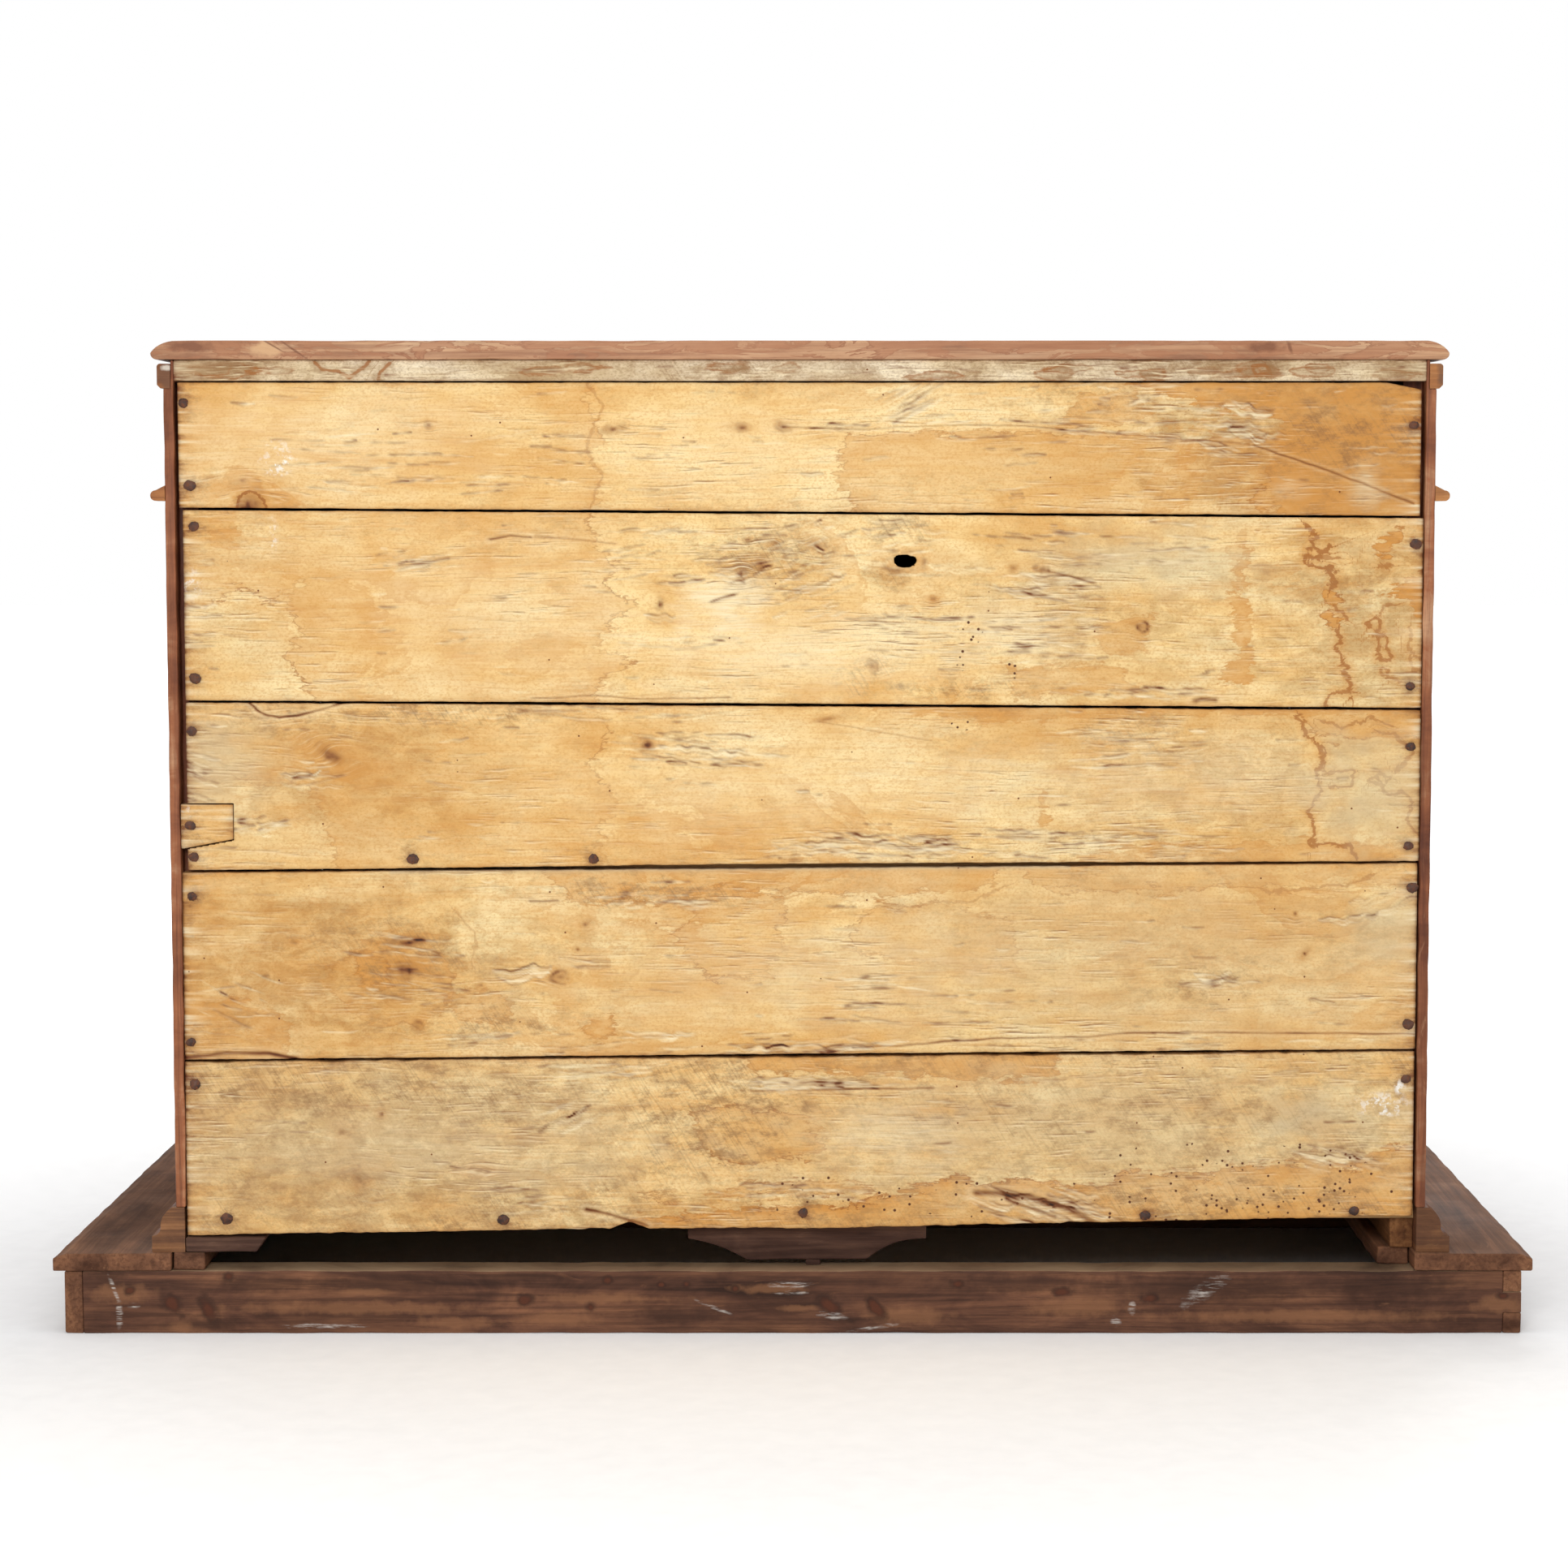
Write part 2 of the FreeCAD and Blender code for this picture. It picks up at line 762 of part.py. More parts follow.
def tenons(label, level, height):
    """The pair of tenons at the ends of a front rail."""
    tenon_front = f"{FRONT} + (frame_thick - tenon_thick) / 2"
    left = slab(
        f"{label}_left_tenon",
        (f"{BAY_LEFT} - tenon_length", tenon_front, f"{level} + tenon_shoulder"),
        ("tenon_length", "tenon_thick", f"{height} - 2 * tenon_shoulder"),
    )
    return left, mirrored(f"{label}_right_tenon", left)


def front_frame():
    """Stiles with raised fields, the three rails tenoned into them, and the uprights between the bays."""
    rail_start = BAY_LEFT
    rail_length = f"2 * ({CASE_MIDDLE} - {BAY_LEFT})"
    mortises = []
    rails = (
        ("bottom_front_rail", CASE_FLOOR, "bottom_rail_height", "0"),
        ("belt_rail", "belt_rail_level", "belt_rail_height", "0"),
        ("top_front_rail", "cornice_level", f"({CASE_TOP} - cornice_level)", "cornice_let_in"),
    )
    for label, level, height, setback in rails:
        core = slab(
            f"{label}_core",
            (rail_start, f"{FRONT} + {setback}", level),
            (rail_length, f"frame_thick - {setback}", height),
        )
        left_tenon, right_tenon = tenons(label, level, height)
        mortises.append(left_tenon)
        node(fuse(label, [core, left_tenon, right_tenon]))

    height = f"({CASE_TOP} - {CASE_FLOOR})"
    fields = (
        ("bottom_rail_height + field_end_margin", f"belt_rail_level - {CASE_FLOOR} - field_end_margin"),
        (f"{BELT_TOP} - {CASE_FLOOR} + door_gap", f"cornice_level - {CASE_FLOOR} - door_gap"),
    )
    stile = body("left_stile_core", (f"{CASE_MIDDLE} - {HALF}", FRONT, CASE_FLOOR))
    pad(stile, "XZ_Plane", rectangle("0", "0", "stile_width", height), "frame_thick", reverse=True)
    for low, high in fields:
        face = rectangle("field_margin", low, "stile_width - field_margin", high)
        pad(stile, "XZ_Plane", face, "field_rise", taper="field_taper")
    front_housing = slab(
        "left_stile_front_housing",
        (f"{CASE_MIDDLE} - {HALF}", FRONT, "cornice_level"),
        ("stile_width", "cornice_let_in", f"{CASE_TOP} - cornice_level"),
    )
    side_housing = slab(
        "left_stile_side_housing",
        (f"{CASE_MIDDLE} - {HALF}", FRONT, "cornice_level"),
        ("cornice_let_in", "frame_thick", f"{CASE_TOP} - cornice_level"),
    )
    left_stile = node(cut("left_stile", stile, [front_housing, side_housing] + mortises))
    node(mirrored("right_stile", left_stile))

    uprights = (
        ("centre_stile", f"{CASE_FLOOR} + bottom_rail_height", "belt_rail_level", "field_end_margin"),
        ("drawer_divider", BELT_TOP, "cornice_level", "door_gap"),
    )
    for label, low, high, margin in uprights:
        tall = f"({high} - ({low}))"
        upright = body(label, (f"{CASE_MIDDLE} - centre_width / 2", FRONT, low))
        pad(upright, "XZ_Plane", rectangle("0", "0", "centre_width", tall), "frame_thick", reverse=True)
        face = rectangle("field_margin", margin, "centre_width - field_margin", f"{tall} - {margin}")
        pad(upright, "XZ_Plane", face, "field_rise", taper="field_taper")
        node(upright)

    left_stop = slab(
        "left_door_stop",
        (
            f"({BAY_LEFT} + {BAY_RIGHT} - stop_width) / 2",
            f"{FRONT} + door_thick + stop_gap",
            "belt_rail_level - stop_height",
        ),
        ("stop_width", "stop_thick", "stop_height"),
    )
    node(group("door_stops", [left_stop, mirrored("right_door_stop", left_stop)]))


def surround(label, level, let_in, reach, section):
    """A moulding round the left, front and right of the case, mitred at the front corners."""
    whole_reach = f"({let_in} + {reach})"
    left = run(
        f"{label}_left",
        (f"{CASE_MIDDLE} - {HALF} + {let_in}", f"{FRONT} - {reach}", level),
        TURN_LEFT, section, f"(carcass_depth + {reach})", whole_reach, True, False,
    )
    front = run(
        f"{label}_front",
        (f"{CASE_MIDDLE} + {HALF} + {reach}", f"{FRONT} + {let_in}", level),
        TURN_BACK, section, f"(carcass_width + 2 * {reach})", whole_reach, True, True,
    )
    node(group(label, [left, front, mirrored(f"{label}_right", left)]))


def mouldings():
    """Cornice let into the case, belt under the drawers, and the base on which the sides stand."""
    cornice_outer = "(cornice_let_in + cornice_reach)"
    surround("cornice_moulding", "cornice_level", "cornice_let_in", "cornice_reach", [
        ("0", "0"),
        (f"{cornice_outer} - cornice_step", "0"),
        (cornice_outer, "cornice_step"),
        (cornice_outer, "cornice_height - cornice_step"),
        (f"{cornice_outer} - cornice_step", "cornice_height", "cornice_step", "left"),
        ("0", "cornice_height"),
    ])
    surround("belt_moulding", "belt_level", "0", "belt_reach", [
        ("0", "0"),
        ("belt_reach - belt_nose", "0"),
        ("belt_reach", "belt_nose", "belt_nose", "left"),
        ("belt_reach - belt_nose", "2 * belt_nose", "belt_nose", "left"),
        ("0", "belt_height"),
    ])
    base_outer = "(base_let_in + base_reach)"
    base_height = "(skid_height + bottom_thick)"
    surround("base_moulding", PLATFORM_TOP, "base_let_in", "base_reach", [
        ("0", "0"),
        (base_outer, "0"),
        (base_outer, "base_fillet"),
        (f"{base_outer} - base_hollow", "base_fillet + base_hollow", "base_hollow", "right"),
        ("base_top", base_height, "base_round", "left"),
        ("0", base_height),
    ])


def hinge_levels():
    """Where the straps meet their pintles, low and high on the door."""
    return f"({DOOR_BOTTOM} + hinge_inset)", f"({DOOR_TOP} - hinge_inset - knuckle_height)"


def pintles():
    """Four forged pintles: a leaf on the stile, a knuckle and the pin that carries the strap."""
    axis_x = f"({BAY_LEFT} + door_gap / 2)"
    axis_y = f"({FRONT} - hinge_offset)"
    left_pair = []
    for place_name, level in zip(("low", "high"), hinge_levels()):
        bottom = f"({level} - knuckle_height - hinge_gap / 2)"
        leaf = slab(
            f"{place_name}_leaf",
            (f"{BAY_LEFT} - leaf_width", f"{FRONT} - leaf_thick", bottom),
            ("leaf_width", "leaf_thick", "knuckle_height"),
        )
        knuckle = rod(f"{place_name}_knuckle", (axis_x, axis_y, bottom), "knuckle_radius", "knuckle_height")
        pin = rod(f"{place_name}_pin", (axis_x, axis_y, bottom), "pin_radius", "2 * knuckle_height")
        left_pair.append(fuse(f"{place_name}_pintle", [leaf, knuckle, pin]))
    right_pair = [mirrored(f"{piece.Label}_right", piece) for piece in left_pair]
    node(group("hinge_pintles", left_pair + right_pair))


def strap(label, level):
    """A strap hinge that narrows to a spear end, with its eye on the pintle."""
    axis_x = f"({BAY_LEFT} + door_gap / 2)"
    axis_y = f"({FRONT} - hinge_offset)"
    bottom = f"({level} + hinge_gap / 2)"
    middle = "knuckle_height / 2"
    leaf = prism(
        f"{label}_leaf", (axis_x, FRONT, bottom), "XZ_Plane",
        [
            ("0", "0"),
            ("strap_length * 0.68", f"{middle} - strap_waist / 2"),
            ("strap_length * 0.76", "0"),
            ("strap_length", middle),
            ("strap_length * 0.76", "knuckle_height"),
            ("strap_length * 0.68", f"{middle} + strap_waist / 2"),
            ("0", "knuckle_height"),
        ],
        "leaf_thick",
    )
    eye = rod(f"{label}_eye", (axis_x, axis_y, bottom), "knuckle_radius", "knuckle_height")
    bore = rod(f"{label}_bore", (axis_x, axis_y, bottom), "pin_radius + pin_clearance", "knuckle_height")
    return cut(label, fuse(f"{label}_blank", [leaf, eye]), [bore])


def door_frame():
    """Stiles and rails of the left door, with grooves, tenons and the keyhole."""
    width = "door_stile_width"
    tall = f"({DOOR_TOP} - {DOOR_BOTTOM})"
    lock_start = f"({DOOR_RIGHT} - {width})"
    rail_start = f"({DOOR_LEFT} + {width})"
    rail_length = f"({lock_start} - {rail_start})"
    groove_y = f"({FRONT} + (door_thick - groove_width) / 2)"
    groove_low = f"({DOOR_BOTTOM} + door_rail_height - groove_depth)"
    groove_tall = f"({tall} - 2 * door_rail_height + 2 * groove_depth)"

    tenon_pieces = {}
    rail_cores = []
    for place_name, level in (("low", DOOR_BOTTOM), ("high", f"({DOOR_TOP} - door_rail_height)")):
        rail_core = slab(
            f"door_{place_name}_rail_core",
            (rail_start, FRONT, level),
            (rail_length, "door_thick", "door_rail_height"),
        )
        groove_level = f"{level} + door_rail_height - groove_depth" if place_name == "low" else level
        groove = slab(
            f"door_{place_name}_rail_groove",
            (rail_start, groove_y, groove_level),
            (rail_length, "groove_width", "groove_depth"),
        )
        tenon_low = f"{level} + (door_rail_height - door_tenon_height) / 2"
        tenon_size = ("door_tenon_length", "groove_width", "door_tenon_height")
        hinge_corner = (f"{rail_start} - door_tenon_length", groove_y, tenon_low)
        hinge_end = slab(f"door_{place_name}_hinge_tenon", hinge_corner, tenon_size)
        lock_end = slab(f"door_{place_name}_lock_tenon", (lock_start, groove_y, tenon_low), tenon_size)
        tenon_pieces[place_name] = hinge_end, lock_end
        grooved = cut(f"door_{place_name}_rail_grooved", rail_core, [groove])
        rail_cores.append(fuse(f"door_{place_name}_rail", [grooved, hinge_end, lock_end]))

    hinge_core = slab("door_hinge_stile_core", (DOOR_LEFT, FRONT, DOOR_BOTTOM), (width, "door_thick", tall))
    hinge_groove = slab(
        "door_hinge_groove",
        (f"{rail_start} - groove_depth", groove_y, groove_low),
        ("groove_depth", "groove_width", groove_tall),
    )
    hinge_cuts = [hinge_groove, tenon_pieces["low"][0], tenon_pieces["high"][0]]
    hinge_stile = cut("door_hinge_stile", hinge_core, hinge_cuts)

    lock_core = slab("door_lock_stile_core", (lock_start, FRONT, DOOR_BOTTOM), (width, "door_thick", tall))
    lock_groove = slab(
        "door_lock_groove",
        (lock_start, groove_y, groove_low),
        ("groove_depth", "groove_width", groove_tall),
    )
    key_x = f"({DOOR_RIGHT} - lock_setback)"
    hole = rod("door_keyhole", (key_x, FRONT, LOCK_LEVEL), "keyhole_radius", "door_thick", Z_TO_Y)
    slot_tall = "(key_bit_length + keyhole_radius)"
    slot = slab(
        "door_keyhole_slot",
        (f"{key_x} - keyhole_width / 2", FRONT, f"{LOCK_LEVEL} - {slot_tall}"),
        ("keyhole_width", "door_thick", slot_tall),
    )
    lock_cuts = [lock_groove, tenon_pieces["low"][1], tenon_pieces["high"][1], hole, slot]
    lock_stile = cut("door_lock_stile", lock_core, lock_cuts)
    return [hinge_stile, lock_stile], rail_cores


def door_panel():
    """A fielded panel whose tongue floats in the grooves."""
    inner_left = f"({DOOR_LEFT} + door_stile_width)"
    inner_low = f"({DOOR_BOTTOM} + door_rail_height)"
    width = f"({DOOR_RIGHT} - {DOOR_LEFT} - 2 * door_stile_width + 2 * tongue_depth)"
    tall = f"({DOOR_TOP} - {DOOR_BOTTOM} - 2 * door_rail_height + 2 * tongue_depth)"
    corner = (
        f"{inner_left} - tongue_depth",
        f"{FRONT} + (door_thick - tongue_thick) / 2",
        f"{inner_low} - tongue_depth",
    )
    panel = body("left_door_panel", corner)
    pad(panel, "XZ_Plane", rectangle("0", "0", width, tall), "tongue_thick", reverse=True)
    inset = "(tongue_depth + panel_margin)"
    face = rectangle(inset, inset, f"{width} - {inset}", f"{tall} - {inset}")
    pad(panel, "XZ_Plane", face, "panel_rise", taper="panel_taper")
    return panel


def door_lock():
    """The rim lock on the inside of the left door: case, bolt and key."""
    case_front = f"({FRONT} + door_thick)"
    case_low = f"({LOCK_LEVEL} - lock_height / 2)"
    case_start = f"({DOOR_RIGHT} - lock_width)"
    core = slab(
        "lock_core", (case_start, case_front, case_low), ("lock_width", "lock_depth", "lock_height"))
    cavity = slab(
        "lock_cavity",
        (f"{case_start} + lock_wall", case_front, f"{case_low} + lock_wall"),
        ("lock_width - 2 * lock_wall", "lock_depth - lock_wall", "lock_height - 2 * lock_wall"),
    )
    bolt_low = f"({LOCK_LEVEL} + bolt_rise)"
    bolt_front = f"({case_front} + bolt_front_gap)"
    mouth = slab(
        "lock_mouth",
        (f"{DOOR_RIGHT} - lock_wall", f"{bolt_front} - bolt_clearance", f"{bolt_low} - bolt_clearance"),
        ("lock_wall", "bolt_thick + 2 * bolt_clearance", "bolt_height + 2 * bolt_clearance"),
    )
    lock_case = cut("left_door_lock_case", core, [cavity, mouth])
    bolt = slab(
        "left_door_bolt",
        (f"{DOOR_RIGHT} - fit_gap - bolt_length", bolt_front, bolt_low),
        ("bolt_length", "bolt_thick", "bolt_height"),
    )

    key_x = f"({DOOR_RIGHT} - lock_setback)"
    bow_y = f"({FRONT} - key_reach)"
    tip_y = f"({case_front} + lock_depth - lock_wall - fit_gap)"
    shank = rod("key_shank", (key_x, bow_y, LOCK_LEVEL), "key_radius", f"{tip_y} - {bow_y}", Z_TO_Y)
    bow = made(
        "Part::Torus", "key_bow", (key_x, f"{bow_y} - key_bow_radius", LOCK_LEVEL), Z_TO_X,
        Radius1="key_bow_radius", Radius2="key_bow_wire",
    )
    bit = slab(
        "key_bit",
        (
            f"{key_x} - key_bit_thick / 2",
            f"{case_front} + key_bit_gap",
            f"{LOCK_LEVEL} - key_radius - key_bit_length",
        ),
        ("key_bit_thick", "key_bit_width", "key_bit_length + key_radius"),
    )
    return lock_case, bolt, fuse("left_door_key", [shank, bow, bit])


def doors():
    """The left door, piece by piece, and its mirror image on the right."""
    stiles, rails = door_frame()
    straps = [strap(f"left_{name}_strap", level) for name, level in zip(("low", "high"), hinge_levels())]
    pieces = [
        group("left_door_stiles", stiles),
        group("left_door_rails", rails),
        door_panel(),
        group("left_door_straps", straps),
        *door_lock(),
    ]
    for piece in pieces:
        node(piece)
        node(mirrored(piece.Label.replace("left", "right", 1), piece))


def knob(label, corner):
    """A turned knob with its foot at corner, standing out to the front."""
    whole = body(label, corner, TURN_BACK)
    turned = whole.newObject("PartDesign::Revolution", f"{label}_turned")
    turned.Profile = outline(whole, "XY_Plane", [
        ("0", "0"),
        ("knob_base", "0"),
        ("knob_base", "knob_base_thick"),
        ("knob_neck", "knob_base_thick + knob_neck_length / 2", "knob_neck_length / 2", "right"),
        ("knob_neck", "knob_base_thick + knob_neck_length"),
        ("knob_radius", "knob_swell", "knob_radius", "right"),
        ("knob_flat", "knob_length", "knob_crown", "left"),
        ("0", "knob_length"),
    ])
    turned.ReferenceAxis = (origin_part(whole, "Y_Axis"), [""])
    turned.Angle = 360
    return whole


def drawers():
    """The left drawer, piece by piece, its mirror image, and the runners and guides that carry both."""
    front_left = f"({BAY_LEFT} + drawer_gap)"
    front_width = f"({BAY_RIGHT} - {BAY_LEFT} - 2 * drawer_gap)"
    front_low = f"({BELT_TOP} + drawer_gap)"
    front_tall = f"(cornice_level - {BELT_TOP} - 2 * drawer_gap)"
    box_left = f"({BAY_LEFT} + drawer_side_gap)"
    box_right = f"({BAY_RIGHT} - drawer_side_gap)"
    box_front = f"({FRONT} + drawer_front_thick)"
    box_rear = f"({BACK_INNER} - fit_gap)"
    box_low = f"({BELT_TOP} + drawer_lift)"
    wall_low = f"({box_low} + drawer_bottom_thick)"

    front = body("left_drawer_front", (front_left, FRONT, front_low))
    pad(front, "XZ_Plane", rectangle("0", "0", front_width, front_tall), "drawer_front_thick", reverse=True)
    margin = "drawer_field_margin"
    face = rectangle(margin, margin, f"{front_width} - {margin}", f"{front_tall} - {margin}")
    pad(front, "XZ_Plane", face, "drawer_field_rise", taper="field_taper")

    side_size = ("drawer_wall", f"{box_rear} - {box_front}", "drawer_side_height")
    walls = group("left_drawer_walls", [
        slab("drawer_outer_wall", (box_left, box_front, wall_low), side_size),
        slab("drawer_inner_wall", (f"{box_right} - drawer_wall", box_front, wall_low), side_size),
        slab(
            "drawer_back_wall",
            (f"{box_left} + drawer_wall", f"{box_rear} - drawer_wall", wall_low),
            (f"{box_right} - {box_left} - 2 * drawer_wall", "drawer_wall", "drawer_side_height"),
        ),
    ])
    bottom = slab(
        "left_drawer_bottom",
        (box_left, box_front, box_low),
        (f"{box_right} - {box_left}", f"{box_rear} - {box_front}", "drawer_bottom_thick"),
    )
    knob_corner = (
        f"{front_left} + {front_width} / 2",
        f"{FRONT} - drawer_field_rise",
        f"{front_low} + {front_tall} / 2",
    )
    for piece in (front, walls, bottom, knob("left_drawer_knob", knob_corner)):
        node(piece)
        node(mirrored(piece.Label.replace("left", "right", 1), piece))

    run_length = f"({BACK_INNER} - {FRAME_REAR})"
    inner_face = f"({CASE_MIDDLE} - {HALF} + side_thick)"
    ledge_end = f"({box_left} + runner_bearing)"
    outer_ledge = slab(
        "left_ledge",
        (inner_face, FRAME_REAR, f"{BELT_TOP} - runner_height"),
        (f"{ledge_end} - {inner_face}", run_length, "runner_height"),
    )
    outer_guide = slab(
        "left_guide",
        (f"{box_left} - guide_gap - guide_width", FRAME_REAR, BELT_TOP),
        ("guide_width", run_length, "guide_height"),
    )
    centre_half = f"({CASE_MIDDLE} - {box_right})"
    centre_ledge = slab(
        "centre_ledge",
        (f"{box_right} - runner_bearing", FRAME_REAR, f"{BELT_TOP} - runner_height"),
        (f"2 * ({centre_half} + runner_bearing)", run_length, "runner_height"),
    )
    centre_guide = slab(
        "centre_guide",
        (f"{box_right} + guide_gap", FRAME_REAR, BELT_TOP),
        (f"2 * ({centre_half} - guide_gap)", run_length, "guide_height"),
    )
    node(group("drawer_runners", [
        outer_ledge, centre_ledge, mirrored("right_ledge", outer_ledge),
        outer_guide, centre_guide, mirrored("right_guide", outer_guide),
    ]))


def write_nodes():
    """Stop on any failed object, then write each node to a file of its own."""
    failed = [thing.Label for thing in doc.Objects if {"Invalid", "Error"} & set(thing.State)]
    unsound = [piece.Label for piece in nodes if piece.Shape.isNull() or not piece.Shape.isValid()]
    if failed or unsound:
        raise RuntimeError(f"failed objects: {failed}; unsound shapes: {unsound}")
    os.makedirs("parts", exist_ok=True)
    for piece in nodes:
        piece.Shape.exportStep(f"parts/{piece.Label}.step")
    solids = sum(len(piece.Shape.Solids) for piece in nodes)
    print(f"{len(nodes)} nodes, {solids} solids")


platform()
case()
top()
plank_back()
feet()
front_frame()
mouldings()
pintles()
doors()
drawers()
doc.recompute()
write_nodes()
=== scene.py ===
"""Looks of the credenza: a bare plank back, a waxed walnut case and a dark platform, on a pale floor."""
import math

import bmesh
import bpy
import numpy as np
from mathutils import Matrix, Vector
from mathutils import noise as field_noise
from mathutils.bvhtree import BVHTree


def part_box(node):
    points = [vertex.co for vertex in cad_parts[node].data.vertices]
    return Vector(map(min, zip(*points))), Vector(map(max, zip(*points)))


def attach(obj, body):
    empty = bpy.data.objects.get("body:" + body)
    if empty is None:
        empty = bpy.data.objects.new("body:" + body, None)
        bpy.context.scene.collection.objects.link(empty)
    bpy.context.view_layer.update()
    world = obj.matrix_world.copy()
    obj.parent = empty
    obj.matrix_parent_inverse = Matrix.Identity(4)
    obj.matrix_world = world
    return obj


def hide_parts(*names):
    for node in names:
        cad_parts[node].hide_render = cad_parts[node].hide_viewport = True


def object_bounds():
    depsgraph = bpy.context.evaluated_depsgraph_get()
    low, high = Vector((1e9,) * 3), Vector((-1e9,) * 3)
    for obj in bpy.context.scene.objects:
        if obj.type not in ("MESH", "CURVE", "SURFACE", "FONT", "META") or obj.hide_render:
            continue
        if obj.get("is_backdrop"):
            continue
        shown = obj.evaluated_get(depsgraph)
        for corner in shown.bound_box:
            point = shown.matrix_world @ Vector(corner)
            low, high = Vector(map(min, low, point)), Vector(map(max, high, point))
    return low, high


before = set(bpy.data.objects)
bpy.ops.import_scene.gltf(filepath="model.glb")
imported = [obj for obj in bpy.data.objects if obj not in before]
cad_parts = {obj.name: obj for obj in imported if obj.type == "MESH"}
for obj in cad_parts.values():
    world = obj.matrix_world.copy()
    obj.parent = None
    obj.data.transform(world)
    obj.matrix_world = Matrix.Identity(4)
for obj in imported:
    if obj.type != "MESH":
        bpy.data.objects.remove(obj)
cad_low, cad_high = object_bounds()

MM = 0.001
# The photograph's camera: its picture in pixels, its eye in metres
PHOTO = 1932
FOCAL = 4200.0
CENTRE_X, CENTRE_Y = 1031.0, 966.0
EYE = Vector((-0.0505, 4.2277, 0.943))
PITCH = math.radians(4.574)
SENSOR = 36.0
# Width of a pixel on the planks
PIXEL = 0.92 * MM
BACK_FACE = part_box("back_board_2")[1].y
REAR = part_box("left_side")[1].y


def seen(x, y, z):
    """Pixel of the photograph at which a point shows."""
    away, up = EYE.y - y, z - EYE.z
    depth = away * math.cos(PITCH) - up * math.sin(PITCH)
    rise = away * math.sin(PITCH) + up * math.cos(PITCH)
    return CENTRE_X + FOCAL * (EYE.x - x) / depth, CENTRE_Y - FOCAL * rise / depth


def on_photo(px, py, y):
    """Where the line of sight through a pixel meets a plane across the depth."""
    right, rise = (px - CENTRE_X) / FOCAL, (CENTRE_Y - py) / FOCAL
    reach = (EYE.y - y) / (math.cos(PITCH) + rise * math.sin(PITCH))
    return EYE.x - reach * right, EYE.z + reach * (rise * math.cos(PITCH) - math.sin(PITCH))


# Repeatable noise


def chance(seed, *cells):
    """A value from 0 to 1 for each whole-numbered cell."""
    mixed = np.full(np.shape(cells[0]), seed * 7919 + 17, np.uint64)
    for prime, cell in zip((73856093, 19349663), cells):
        mixed ^= (np.asarray(cell).astype(np.int64) * prime).astype(np.uint64)
    for shift, prime in ((15, 2246822519), (13, 3266489917)):
        mixed = ((mixed ^ (mixed >> np.uint64(shift))) * np.uint64(prime)) & np.uint64(0xFFFFFFFF)
    return (mixed & np.uint64(0xFFFFFF)) / 0xFFFFFF


def ripple(seed, x, y):
    """Smooth noise from -1 to 1 with one cell per unit."""
    left, low = np.floor(x), np.floor(y)
    fx, fy = x - left, y - low
    fx, fy = fx * fx * (3 - 2 * fx), fy * fy * (3 - 2 * fy)
    bottom = chance(seed, left, low) * (1 - fx) + chance(seed, left + 1, low) * fx
    top = chance(seed, left, low + 1) * (1 - fx) + chance(seed, left + 1, low + 1) * fx
    return 2 * (bottom * (1 - fy) + top * fy) - 1


def cloud(seed, x, y, octaves=4, fall=0.5):
    """Noise with finer and finer detail, from -1 to 1."""
    total, weight, most = 0, 1.0, 0
    for octave in range(octaves):
        total = total + weight * ripple(seed + octave, x * 2 ** octave, y * 2 ** octave)
        most += weight
        weight *= fall
    return total / most


# Materials


def srgb(red, green, blue):
    """A screen colour of 0 to 255 as the shader takes it."""
    def straight(value):
        value /= 255
        return value / 12.92 if value <= 0.04045 else ((value + 0.055) / 1.055) ** 2.4
    return straight(red), straight(green), straight(blue), 1.0


